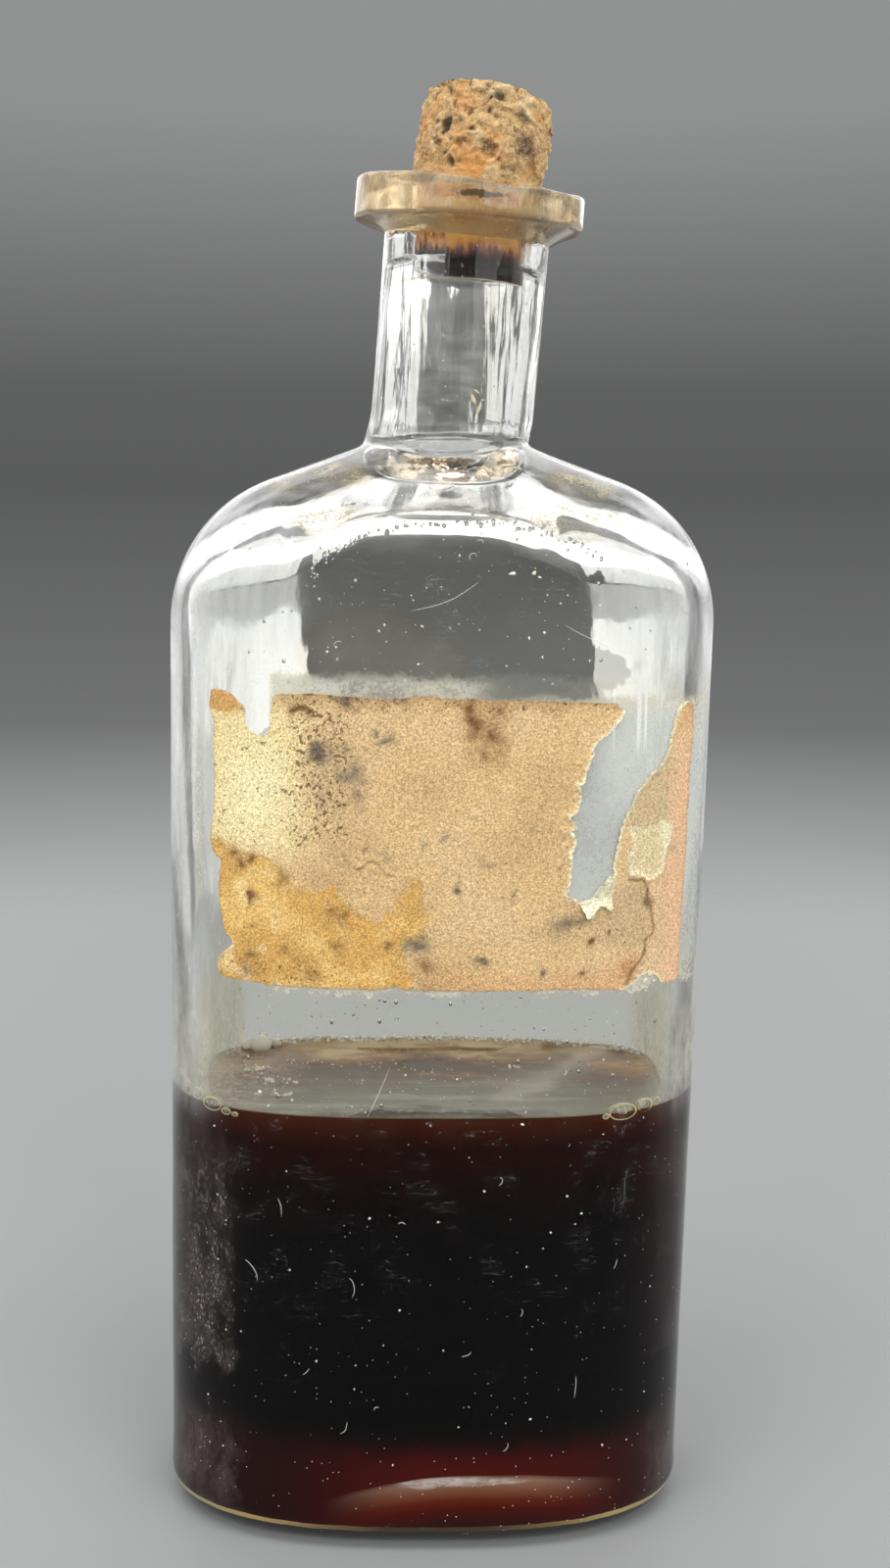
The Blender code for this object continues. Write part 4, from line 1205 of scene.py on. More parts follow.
# Mould and foxing: across, height, size in millimetres, and how dark. The two spots at 16.4 and 18.2 across,
# under the torn flap, are its painted shadow over dirt.
GREY_SPOTS = [(-15.1, 108.5, 1.4, 0.62), (-11.8, 108.7, 1.0, 0.34), (-7.0, 109.6, 0.8, 0.42),
              (-8.2, 111.0, 0.45, 0.5), (-10.6, 105.7, 1.5, 0.34), (-12.3, 105.0, 1.0, 0.28),
              (-10.1, 102.4, 1.1, 0.4), (-14.9, 102.2, 0.7, 0.35), (-11.6, 115.0, 1.1, 0.55),
              (-5.1, 114.9, 1.2, 0.4), (-2.6, 83.9, 1.3, 0.5), (-2.0, 97.0, 0.7, 0.25),
              (0.5, 97.8, 0.6, 0.3), (-6.9, 94.9, 0.9, 0.22), (16.4, 86.6, 2.0, 0.38),
              (18.2, 87.0, 1.4, 0.34), (2.9, 91.7, 0.6, 0.55), (9.8, 90.6, 0.5, 0.35),
              (13.3, 80.3, 0.6, 0.6), (5.9, 81.4, 0.7, 0.55), (6.4, 94.6, 0.9, 0.22),
              (12.4, 98.8, 1.1, 0.18), (-2.5, 88.6, 1.0, 0.2)]
BROWN_SPOTS = [
    (-17.8, 113.1, 0.9, 0.7), (-16.8, 112.7, 0.6, 0.6), (-24.0, 89.5, 0.8, 0.75), (-5.6, 83.9, 0.9, 0.45),
    (-24.1, 85.1, 0.35, 0.6), (-11.4, 87.2, 0.8, 0.4), (-12.9, 87.8, 1.0, 0.3), (-23.7, 82.2, 0.8, 0.4),
    (-19.9, 82.8, 0.9, 0.3), (-12.8, 83.2, 1.0, 0.35), (-9.4, 96.1, 0.5, 0.3), (-25.8, 94.7, 0.9, 0.5),
    (-24.6, 94.0, 0.8, 0.5), (-19.7, 92.2, 0.9, 0.3), (21.8, 85.5, 0.45, 0.65), (20.2, 83.7, 0.4, 0.85),
    (19.4, 79.9, 0.6, 0.5), (15.3, 97.6, 0.4, 0.3), (15.2, 93.9, 0.5, 0.3), (4.2, 111.8, 1.3, 0.55),
    (6.6, 110.3, 1.5, 0.45), (3.6, 113.9, 1.2, 0.5), (7.6, 113.5, 1.0, 0.4), (5.6, 107.8, 1.1, 0.35),
    (-24.5, 80.0, 1.5, 0.35), (-16.0, 79.6, 1.8, 0.25), (-1.2, 80.2, 1.6, 0.4), (12.0, 86.0, 0.3, 0.4),
]


def inside_outline(x, z, outline):
    """True where points lie inside a closed outline."""
    found = np.zeros(x.shape, bool)
    for (x0, z0), (x1, z1) in zip(outline, outline[1:] + outline[:1]):
        if z0 == z1:
            continue
        crosses = (z0 > z) != (z1 > z)
        found ^= crosses & (x < (x1 - x0) * (z - z0) / (z1 - z0) + x0)
    return found


def line_distance(x, z, line):
    """Distance from points to an open line."""
    nearest = np.full(x.shape, 1e9)
    for (x0, z0), (x1, z1) in zip(line, line[1:]):
        along = ((x - x0) * (x1 - x0) + (z - z0) * (z1 - z0)) / ((x1 - x0) ** 2 + (z1 - z0) ** 2)
        along = np.clip(along, 0, 1)
        nearest = np.minimum(nearest, np.hypot(x - x0 - along * (x1 - x0), z - z0 - along * (z1 - z0)))
    return nearest


def field(x, z, size, seed):
    """Noise over the sheet, from about -1 to 1."""
    flat = [noise.noise((across / size + seed, height / size - seed, seed * 0.37))
            for across, height in zip(x.ravel(), z.ravel())]
    return np.array(flat).reshape(x.shape) * 1.4


def on_glass(across, height, lift):
    """Places on the front of the bottle, given in millimetres and lifted off the glass."""
    across, height, lift = across * MM, height * MM, lift * MM
    half_width, half_depth = BODY_WIDTH / 2, BODY_DEPTH / 2
    share = np.minimum(np.abs(across / half_width), 0.999)
    deep = -half_depth * (1 - share ** PLAN_SQUARENESS) ** (1 / PLAN_SQUARENESS)
    slope_x = np.sign(across) * share ** (PLAN_SQUARENESS - 1) / half_width
    slope_y = -np.abs(deep / half_depth) ** (PLAN_SQUARENESS - 1) / half_depth
    length = np.hypot(slope_x, slope_y)
    x = BASE_X + math.tan(BODY_LEAN) * height + across + slope_x / length * lift
    return np.stack([x, BASE_Y + deep + slope_y / length * lift, height], axis=-1)


def clipped_faces(keep, grids):
    """Cuts a sheet out of a grid where keep is positive, exactly along its edge.

    It gives the cut's points, each a list of what the grids hold there, and its faces.
    """
    points, known, faces = [], {}, []

    def corner(place):
        if place not in known:
            known[place] = len(points)
            points.append([grid[place] for grid in grids])
        return known[place]

    def crossing(first, second):
        key = (first, second) if first < second else (second, first)
        if key not in known:
            one, two = key
            share = keep[one] / (keep[one] - keep[two])
            known[key] = len(points)
            points.append([grid[one] + (grid[two] - grid[one]) * share for grid in grids])
        return known[key]

    inside = keep > 0
    some = inside[:-1, :-1] | inside[1:, :-1] | inside[:-1, 1:] | inside[1:, 1:]
    for row, column in zip(*np.nonzero(some)):
        cell = [(row, column), (row, column + 1), (row + 1, column + 1), (row + 1, column)]
        shape = []
        for here, after in zip(cell, cell[1:] + cell[:1]):
            if inside[here]:
                shape.append(corner(here))
            if inside[here] != inside[after]:
                shape.append(crossing(here, after))
        if len(shape) >= 3:
            faces.append(tuple(shape))
    return np.array(points), faces


def paper_piece(name, x, z, keep, front, back, tone, speck, material, replaces=None):
    """A thin sheet of paper on the glass, between its front and back, with its colour and speckle."""
    tones = [tone[..., channel] for channel in range(3)]
    points, faces = clipped_faces(keep, [x, z, front, back, *tones, speck])
    count = len(points)
    outer = on_glass(points[:, 0], points[:, 1], points[:, 2])
    inner = on_glass(points[:, 0], points[:, 1], points[:, 3])
    edges = {edge: True for face in faces for edge in zip(face, face[1:] + face[:1])}
    solid = faces + [tuple(count + index for index in reversed(face)) for face in faces]
    solid += [(second, first, count + first, count + second)
              for first, second in edges if (second, first) not in edges]
    sheet = add_piece(name, np.vstack([outer, inner]), solid, [material], replaces)
    sheet.data.set_sharp_from_angle(angle=math.radians(50))
    add_layer(sheet, "tone", np.vstack([points[:, 4:7], points[:, 4:7]]))
    add_layer(sheet, "speck", np.append(points[:, 7], points[:, 7]))


def toward(tone, colour, share):
    share = np.clip(share, 0, 1)[..., None]
    return tone * (1 - share) + np.array(colour) * share


def spot_at(x, z, across, height, wide, tall):
    """A soft spot on the sheet, 1 in its middle."""
    return np.exp(-((x - across) / wide) ** 2 - ((z - height) / tall) ** 2)


def along_line(x, z, line, width):
    """A soft band along a line, 1 on the line."""
    return np.exp(-(line_distance(x, z, line) / width) ** 2)


def spotted(tone, u, v, quick, spots, colour, strength):
    """Adds mould or foxing spots, each with a darker core."""
    for across, height, size, dark in spots:
        away = np.hypot(u - across, v - height) / size * (1 + 0.35 * quick)
        share = np.exp(-away ** 2) * dark * strength + np.exp(-(away * 2.0) ** 2) * dark * 0.9
        tone = toward(tone, colour, np.clip(share, 0, 0.97))
    return tone


def honey_stain(tone, u, v, slow, quick):
    """The honey-coloured stain at the lower left, with its tide mark."""
    stain = inside_outline(u, v, HONEY_STAIN)
    edge = line_distance(u, v, HONEY_STAIN[1:-2])
    amber = (0.88 - 0.30 * smooth(0.0, 0.8, quick)) * smooth(0.0, 1.1, edge + 0.4 * quick)
    gold = smooth(-0.1, 0.6, slow + 0.4 * quick) * 0.75
    cream = smooth(-16, -24, u) * smooth(95.5, 92.0, v) * smooth(0.1, 0.7, quick) * 0.6
    tints = (((0.68, 0.385, 0.10), amber), ((0.84, 0.55, 0.19), gold), ((0.90, 0.68, 0.33), cream))
    for colour, share in tints:
        tone = toward(tone, colour, np.where(stain, share, 0.0))
    tide = np.where(stain, 0.38 * smooth(-0.5, 0.5, quick), 0.06)
    return toward(tone, (0.45, 0.25, 0.075), np.exp(-((edge - 0.5) / 0.8) ** 2) * tide)


def paper_tone(x, z, warp):
    """The paper's colour: tan, bleached at the left, with tide marks, mould and foxing, and painted shade
    along the crease and the wrinkle.
    """
    u, v = x + warp[0] * 0.9, z + warp[1] * 0.9
    slow = field(x, z, 9.0, 3.1)
    quick = field(x, z, 2.2, 5.7)
    tone = np.ones(x.shape + (3,)) * np.array((0.700, 0.478, 0.232))
    pale = smooth(-13.0, -20.0, u + 2 * quick) * smooth(93.0, 98.0, v + quick)
    for colour, share in (
        ((0.72, 0.52, 0.28), smooth(-0.2, 0.7, slow) * 0.6),
        ((0.57, 0.38, 0.18), smooth(0.1, 0.8, -slow) * 0.5),
        ((0.87, 0.70, 0.345), pale * 0.9),
        ((0.97, 0.87, 0.52), spot_at(u, v, -23.5, 103.0, 5.0, 6.5) * 0.8),
        ((0.56, 0.40, 0.22), spot_at(u, v, -13.5, 104.0, 4.0, 7.5) * 0.6),
    ):
        tone = toward(tone, colour, share)
    tone = honey_stain(tone, u, v, slow, quick)
    tab = smooth(112.4, 113.3, v) * smooth(-23.5, -24.6, u)
    rim = smooth(113.0, 114.8, v + 0.5 * quick) * smooth(-21.6, -20.5, u)
    brown = smooth(2.0, 3.6, u) * smooth(9.3, 7.6, u) * smooth(105.6, 107.5, v)
    low = smooth(81.6, 78.6, v + 0.8 * quick) * smooth(-2.0, 3.0, u)
    worn = smooth(23.6, 25.2, u) * smooth(110.5, 107.0, v) * smooth(91.0, 93.5, v)
    grey = smooth(19.5, 22.5, u) * smooth(28.5, 26.5, u) * smooth(92.0, 90.0, v) * smooth(81.5, 84.0, v)
    side = u - np.interp(v, [78.2, 82.1, 84.7, 89.0, 92.3], [25.4, 26.6, 28.2, 27.5, 27.0])
    pink = smooth(0, 0.5, side) * smooth(92.5, 90.5, v)
    peach = smooth(29.0, 30.6, u + 0.3 * quick) * smooth(113.5, 108.0, v)
    corner = smooth(30.6, 31.4, u) * smooth(110.0, 112.5, v)
    for colour, share in (
        ((0.60, 0.30, 0.085), tab * 0.85),
        ((0.44, 0.265, 0.115), rim * 0.6),
        ((0.49, 0.295, 0.12), brown * 0.45),
        ((0.66, 0.375, 0.175), low * 0.65),
        ((0.58, 0.455, 0.27), worn * 0.7),
        ((0.50, 0.365, 0.215), grey * 0.6),
        ((0.72, 0.51, 0.30), pink * 0.65),
        ((0.80, 0.50, 0.30), peach * 0.85),
        ((0.68, 0.375, 0.17), corner * 0.7),
        ((0.52, 0.245, 0.09), spot_at(u, v, 24.7, 80.0, 1.1, 1.6) * 0.85),
    ):
        tone = toward(tone, colour, share)
    tone = spotted(tone, u, v, quick, GREY_SPOTS, (0.15, 0.125, 0.095), 1.35)
    tone = spotted(tone, u, v, quick, BROWN_SPOTS, (0.20, 0.09, 0.03), 1.3)
    # Painted shade along the crease and the wrinkle.
    tone = toward(tone, (0.13, 0.065, 0.025), along_line(u, v, CREASE, 0.22) * 0.8)
    return toward(tone, (0.24, 0.15, 0.08), along_line(u, v, WRINKLE, 0.18) * 0.75)


def build_label():
    """The label: glued flat, its torn edges lifted and frayed to the paper's pale core."""
    step = 0.2
    x, z = np.meshgrid(np.arange(-30.2, 33.4, step), np.arange(76.8, 116.6, step))
    fray = (field(x, z, 0.55, 8.3), field(x, z, 0.55, 12.9))
    wander = (field(x, z, 2.0, 18.3), field(x, z, 2.0, 22.9))
    near_tear = np.exp(-line_distance(x, z, TEAR_LINE) / 2.0)
    u = x + fray[0] * (0.10 + 0.12 * near_tear) + wander[0] * 0.10
    v = z + fray[1] * (0.09 + 0.12 * near_tear) + wander[1] * 0.08
    edge = line_distance(u, v, LABEL_OUTLINE + LABEL_OUTLINE[:1])
    keep = np.where(inside_outline(u, v, LABEL_OUTLINE), edge, -edge)
    tear = line_distance(u, v, TEAR_LINE)
    skin_inside = inside_outline(u, v, SKINNED_PATCH)
    skin_edge = line_distance(u, v, SKINNED_PATCH + SKINNED_PATCH[:1])
    skin = np.where(skin_inside, smooth(0.0, 0.12, skin_edge), 0.0)
    pith = np.where(skin_inside, np.exp(-skin_edge / 0.35), 0) + 0.9 * spot_at(x, z, 29.3, 97.6, 0.75, 1.5)
    torn = np.exp(-(tear / (0.28 + 0.12 * fray[0])) ** 2)
    for line, width, strength in ((LABEL_RIGHT[14:22], 0.35 / 1.2, 0.9), (LABEL_LEFT[:6], 0.25, 0.55),
                                  (LABEL_TOP[:17], 0.16, 0.45)):
        torn = np.maximum(torn, strength * along_line(u, v, line, width))
    dark = np.exp(-(edge / 0.16) ** 2) * (1 - torn)
    tone = toward(paper_tone(x, z, wander), (0.72, 0.60, 0.34), skin * 0.9)
    tone = toward(tone, (0.86, 0.79, 0.53), pith * 0.85)
    tone = toward(tone, (0.30, 0.17, 0.07), dark * 0.5)
    tone = toward(tone, (0.88, 0.82, 0.56), torn * 0.95)
    cockle = 0.035 * field(x, z, 7.0, 31.0) + 0.012 * field(x, z, 1.6, 33.0)
    curl = 0.34 * np.exp(-tear / 0.55) * (0.55 + 0.6 * np.clip(wander[0] + 0.3 * fray[0], -0.6, 1))
    ridge = 0.16 * along_line(u, v, CREASE, 0.35) + 0.09 * along_line(u, v, WRINKLE, 0.3)
    sunk = np.where(skin_inside, -0.05 * smooth(0, 0.2, skin_edge), 0.06 * np.exp(-skin_edge / 0.25))
    front = 0.155 + cockle + curl + ridge + sunk + 0.02 * fray[0] * (1 + 2 * near_tear)
    back = np.minimum(-0.04, front - 0.09)
    back = np.where(curl > 0.12, np.maximum(back, front - 0.10), back)
    shaded = smooth(-9.5, -13.5, x + wander[0] * 2) * smooth(-21.0, -17.5, x) * smooth(94.0, 99.0, z)
    speck = np.maximum(0.28 + 0.72 * shaded, 0.50 * smooth(-14, -20, x) * smooth(93, 97, z))
    speck = np.maximum(speck, 0.62 * smooth(112.5, 114.2, z) * smooth(-20, -17, x))
    speck = np.maximum(speck, 0.60 * smooth(86.0, 80.0, z) * smooth(-4, -14, x))
    speck *= 1 - np.clip(torn + skin * 0.6, 0, 1)
    material = paper_finish()
    paper_piece("paper_sheet", x, z, keep, front, back, tone, speck, material, "paper_label")
    build_flap(material)


def paper_finish():
    """Rag paper: fine pale and brown speckle, loose fibres and a soft tooth."""
    web = Finish("aged_paper")
    tone = web.attribute("tone", "Color")
    speck = web.attribute("speck")
    grain = web.noise(0.21, 3.0, 0.65)
    coarse = web.noise(0.75, 2.0, 0.6)
    fibre = web.noise(0.22, 2.0, 0.6, (0.35, 1.0, 1.0))
    bright = (grain * 0.65 + web.noise(0.34, 3.0, 0.7) * 0.35).step(0.38, 0.62, 0.64, 1.36)
    threads = web.tint(fibre.step(0.35, 0.65, 0.92, 1.08))
    tone = web.mix(1.0, tone, web.mix(1.0, web.tint(bright), threads, "MULTIPLY"), "MULTIPLY")
    tone = web.mix(grain.step(0.6, 0.74) * 0.38, tone, (0.86, 0.76, 0.5))
    reach = 0.72 - speck * 0.16
    dots = (coarse - reach) * 14.0 * speck.step(0.3, 0.55, 0.5, 1.0)
    tiny = (web.noise(0.36, 1.0, 0.5) - (reach + 0.02)) * 12.0
    dots = web.most(dots, tiny).step(0.0, 1.0)
    tone = web.mix(dots * 0.85, tone, (0.13, 0.07, 0.03))
    web.set(Base_Color=tone, Roughness=grain.step(0.3, 0.7, 0.78, 0.93), Specular_IOR_Level=0.3)
    web.bump(grain * 0.6 + fibre * 0.5, 0.05 * MM, 0.7)
    return web.material


def build_flap(material):
    """The strip that tore down out of the window and curled, showing its pale back."""
    step = 0.11
    x, z = np.meshgrid(np.arange(17.4, 23.2, step), np.arange(86.4, 93.6, step))
    fray = (field(x, z, 0.5, 41.0), field(x, z, 0.5, 43.0))
    u, v = x + fray[0] * 0.16, z + fray[1] * 0.16
    edge = line_distance(u, v, TORN_FLAP + TORN_FLAP[:1])
    keep = np.where(inside_outline(u, v, TORN_FLAP), edge, -edge)
    fold = z - 89.2 - 0.25 * (x - 20.0)
    lift = 0.30 + 0.85 * smooth(0.2, 3.2, fold) + 0.55 * smooth(0.3, -1.8, fold)
    lift += 0.10 * fray[0] + 0.05 * np.sin(x * 2.6 + z)
    tone = np.ones(x.shape + (3,)) * np.array((0.87, 0.83, 0.60))
    tone = toward(tone, (0.70, 0.58, 0.33), smooth(0.0, 0.8, field(x, z, 0.9, 45.0)) * 0.6)
    tone = toward(tone, (0.50, 0.33, 0.14), spot_at(x, z, 21.3, 88.3, 0.8, 0.35) * 0.8)
    paper_piece("torn_flap", x, z, keep, lift, lift - 0.13, tone, np.zeros(x.shape), material)


def wall_place(across, height, back=False):
    """A place on the outside of the body or shoulder, in metres, and the way the surface faces there."""
    def at(side, up):
        centre = body_centre(up)
        plan = squareness_at(up, PLAN_SQUARENESS)
        share = min(0.995, abs(side / side_half_width(up, 0.0, NECK_RADIUS)))
        deep = face_half_depth(up, 0.0, NECK_RADIUS) * (1 - share ** plan) ** (1 / plan)
        return Vector((centre.x + side, centre.y + (deep if back else -deep), up))

    step = 0.01 * MM
    here = at(across, height)
    facing = (at(across + step, height) - here).cross(at(across, height + step) - here).normalized()
    return here, -facing if back else facing


def neck_place(angle, station):
    """A place on the outside of the neck and the way it faces."""
    centre, tilt = neck_frame(station)
    facing = Vector((math.cos(angle) * math.cos(tilt), math.sin(angle), -math.cos(angle) * math.sin(tilt)))
    return Vector(centre) + facing * NECK_RADIUS, facing


def pebble(verts, faces, centre, facing, size, spin=0.0, rough=0.0, inward=False, rows=6, columns=10):
    """Adds one small rounded lump: its half sizes are across, along and out of the surface that it faces."""
    side = Vector((0, 0, 1)).cross(facing).normalized()
    rise = facing.cross(side)
    side, rise = side * math.cos(spin) + rise * math.sin(spin), rise * math.cos(spin) - side * math.sin(spin)
    start = len(verts)
    for row in range(rows + 1):
        lift = math.pi * row / rows
        for column in range(columns if 0 < row < rows else 1):
            angle = 2 * math.pi * column / columns
            flat = Vector((math.sin(lift) * math.cos(angle), math.sin(lift) * math.sin(angle),
                           math.cos(lift)))
            reach = 1 + rough * ripple(flat + centre * 900, 0.7, 3)
            point = (centre + side * flat.x * size[0] * reach + rise * flat.y * size[1] * reach
                     + facing * flat.z * size[2] * reach)
            verts.append((point.x, min(point.y, BASE_Y + BODY_DEPTH / 2), point.z))
    last = len(verts) - 1
    for column in range(columns):
        after = (column + 1) % columns
        ring_faces = [(start, start + 1 + column, start + 1 + after)]
        for row in range(rows - 2):
            low, high = start + 1 + row * columns, start + 1 + (row + 1) * columns
            ring_faces.append((low + column, high + column, high + after, low + after))
        base = start + 1 + (rows - 2) * columns
        ring_faces.append((last, base + after, base + column))
        faces += [tuple(reversed(face)) for face in ring_faces] if inward else ring_faces
    return last + 1 - start


# Bubbles in a row along the front of the shoulder: across and height in millimetres.
SHOULDER_ROW = [
    (-17.0, 129.5), (-15.6, 131.8), (-12.8, 133.7), (-9.2, 135.4), (-4.2, 136.6), (1.0, 137.2), (6.0, 137.1),
    (11.0, 136.4), (15.6, 134.8), (19.4, 132.4),
]


def dull_finish(name, size, first, second, grain, smoothest, roughest):
    """Opaque crumbs, hair or film: a mottle of two colours and a mottled roughness, sizes in millimetres."""
    web = Finish(name)
    if isinstance(first, str):
        first = web.attribute(first, "Color")
    web.set(Base_Color=web.mix(web.noise(size), first, second))
    web.set(Roughness=web.noise(grain).step(0.3, 0.7, smoothest, roughest))
    return web.material


def build_seeds():
    """Air bubbles caught in the glass, thickest above the liquid, in the neck and along the shoulder."""
    chance = np.random.default_rng(20)
    verts, faces = [], []

    def seed(place, facing, depth, size):
        tall = size * chance.uniform(0.8, 1.5)
        pebble(verts, faces, place - facing * depth, facing, (size, tall, size * 0.8), 0.0, 0.1, True, 6, 8)

    for count, low, high in ((120, 62.0, 77.0), (60, 116.0, 134.0), (50, 12.0, 60.0), (26, 78.0, 140.0)):
        for _ in range(count):
            place, facing = wall_place(chance.uniform(-32, 32) * MM, chance.uniform(low, high) * MM,
                                       chance.random() < 0.3)
            seed(place, facing, chance.uniform(0.6, 1.9) * MM, chance.choice([0.09, 0.12, 0.16, 0.24]) * MM)
    order = range(len(SHOULDER_ROW))
    for _ in range(110):
        share = chance.uniform(0, len(SHOULDER_ROW) - 1.001)
        across, height = [np.interp(share, order, line) for line in zip(*SHOULDER_ROW)]
        across += chance.normal(0, 0.5)
        height += chance.normal(0, 0.35)
        place, facing = wall_place(across * MM, height * MM)
        seed(place, facing, chance.uniform(0.5, 1.5) * MM, chance.choice([0.10, 0.14, 0.20, 0.28]) * MM)
    for _ in range(90):
        place, facing = neck_place(chance.uniform(0, 2 * math.pi), chance.uniform(149.5, 172.5) * MM)
        seed(place, facing, chance.uniform(0.6, 2.2) * MM, chance.choice([0.08, 0.11, 0.15]) * MM)
    web = Finish("glass_seeds")
    web.set(Base_Color=web.mix(web.noise(6), GLASS_TINT, (0.90, 0.91, 0.86)), Roughness=0.01)
    web.set(Transmission_Weight=1.0, IOR=GLASS_IOR)
    add_piece("glass_seeds", verts, faces, [web.material])


def inner_place(across, height, back=False):
    """A place on the inner wall of the body and the way out through the glass there."""
    def at(side):
        centre = body_centre(height)
        half_width, half_depth = BODY_WIDTH / 2 - WALL_THICKNESS, BODY_DEPTH / 2 - WALL_THICKNESS
        share = min(0.998, abs(side / half_width))
        deep = half_depth * (1 - share ** INNER_SQUARENESS) ** (1 / INNER_SQUARENESS)
        return Vector((centre.x + side, centre.y + (deep if back else -deep), height))

    along = (at(across + 0.01 * MM) - at(across - 0.01 * MM)).normalized()
    return at(across), Vector((-along.y, along.x, 0)) if back else Vector((along.y, -along.x, 0))


# Froth at the front edge of the liquid: across and height, half width and half height in millimetres.
FROTH = [(25.0, 60.15, 1.9, 1.05), (28.0, 60.55, 1.1, 0.85), (29.6, 60.75, 0.55, 0.45),
         (22.7, 59.8, 0.4, 0.3), (-28.9, 60.2, 1.45, 0.85), (-30.9, 61.0, 1.05, 0.75),
         (-32.2, 61.9, 0.75, 0.6), (-32.9, 62.8, 0.5, 0.5), (-27.0, 59.6, 0.65, 0.42),
         (-25.8, 59.4, 0.4, 0.26)]

# Froth afloat: across, how far back, spread, how many and the largest, in millimetres.
FLOATING_FROTH = [(-25.6, 4.5, 1.3, 16, 0.30), (-21.9, -0.7, 1.5, 20, 0.34), (-20.7, -6.0, 1.2, 14, 0.26),
                  (-18.1, 7.1, 1.3, 10, 0.22), (11.3, 5.5, 0.6, 6, 0.24), (-5.0, 4.0, 9.0, 40, 0.17),
                  (6.0, -2.0, 13.0, 46, 0.15)]
# Large bubbles at the back wall: across, height over the level and size in millimetres.
BACK_FROTH = [(-25.8, 0.9, 1.45), (-23.3, 0.6, 0.85), (-27.6, 0.8, 0.8), (-25.2, 2.0, 0.5), (27.0, 0.5, 0.6)]


def rim_loop(verts, faces, centre, side, rise, wide, tall, thick):
    """Adds a thin loop of film where a bubble meets the glass."""
    steps, sides, start = 36, 6, len(verts)
    for step in range(steps):
        angle = 2 * math.pi * step / steps
        out = side * math.cos(angle) * wide + rise * math.sin(angle) * tall
        place, outward = centre + out, out.normalized()
        radius = thick * (0.65 + 0.5 * max(0.0, math.sin(angle + 0.6)) + 0.25 * ripple(place * 1000, 0.6, 3))
        for index in range(sides):
            turn = 2 * math.pi * index / sides
            verts.append(tuple(place + outward * radius * math.cos(turn)
                               + side.cross(rise) * radius * 0.6 * math.sin(turn)))
    for step in range(steps):
        faces += quads(start + step * sides, start + (step + 1) % steps * sides, sides)


def build_froth():
    """Bubbles left from shaking: a few large ones at the front wall, a fine row at the back, some afloat."""
    chance = np.random.default_rng(9)
    verts, faces, rims, rim_faces = [], [], [], []
    upright = Vector((0, 0, 1))

    def bubble(centre, facing, size, rows=8, columns=12):
        for shell, inward in ((1.0, False), (0.88, True)):
            pebble(verts, faces, centre, facing, tuple(length * shell for length in size), 0.0, 0.08,
                   inward, rows, columns)

    for across, height, wide, tall in FROTH:
        place, facing = inner_place(across * MM, height * MM)
        deep = 0.75 * min(wide, tall) * MM
        bubble(place - facing * (deep + 0.04 * MM), facing, (wide * MM, tall * MM, deep), 12, 20)
        side = upright.cross(facing).normalized()
        rim_loop(rims, rim_faces, place - facing * 0.14 * MM, side, upright, wide * MM, tall * MM, 0.13 * MM)
    for _ in range(320):
        across = chance.uniform(-30.5, 31.0) * MM
        place, facing = inner_place(across, LIQUID_LEVEL + chance.uniform(0.25, 0.95) * MM, True)
        size = chance.choice([0.12, 0.17, 0.22, 0.32]) * MM
        bubble(place - facing * (size + chance.uniform(0.02, 0.5) * MM), facing, (size, size, size), 5, 8)
    for across, deep, spread, count, largest in FLOATING_FROTH:
        for _ in range(count):
            u, v = across + chance.normal(0, spread), deep + chance.normal(0, min(spread, 4.0) * 0.8)
            if abs(u) > 30 or abs(v) > 13:
                continue
            size = chance.uniform(0.35, 1.0) * largest * MM
            bubble(Vector((u * MM, v * MM, LIQUID_LEVEL + size * 0.55)),
                   Vector((0.0, -0.05, 1.0)).normalized(), (size, size, size), 5, 8)
    for across, rise, size in BACK_FROTH:
        place, facing = inner_place(across * MM, LIQUID_LEVEL + rise * MM, True)
        bubble(place - facing * (size + 0.1) * MM, facing,
               (size * 1.1 * MM, size * 0.92 * MM, size * 0.9 * MM), 10, 16)
    web = Finish("froth")
    clear = web.axes()[1].step_mm(-9, -12, 0.12, 0.86)
    web.set(Base_Color=web.mix(web.noise(0.8), (0.98, 0.94, 0.78), (1.00, 0.99, 0.94)), Roughness=0.06)
    web.set(Transmission_Weight=clear * web.noise(0.4).step(0.35, 0.65, 0.6, 1.0), IOR=FROTH_IOR)
    add_piece("froth", verts, faces, [web.material])
    dull = dull_finish("froth_rim", 0.5, (0.9, 0.74, 0.26), (0.97, 0.92, 0.66), 0.3, 0.2, 0.4)
    add_piece("froth_rim", rims, rim_faces, [dull])


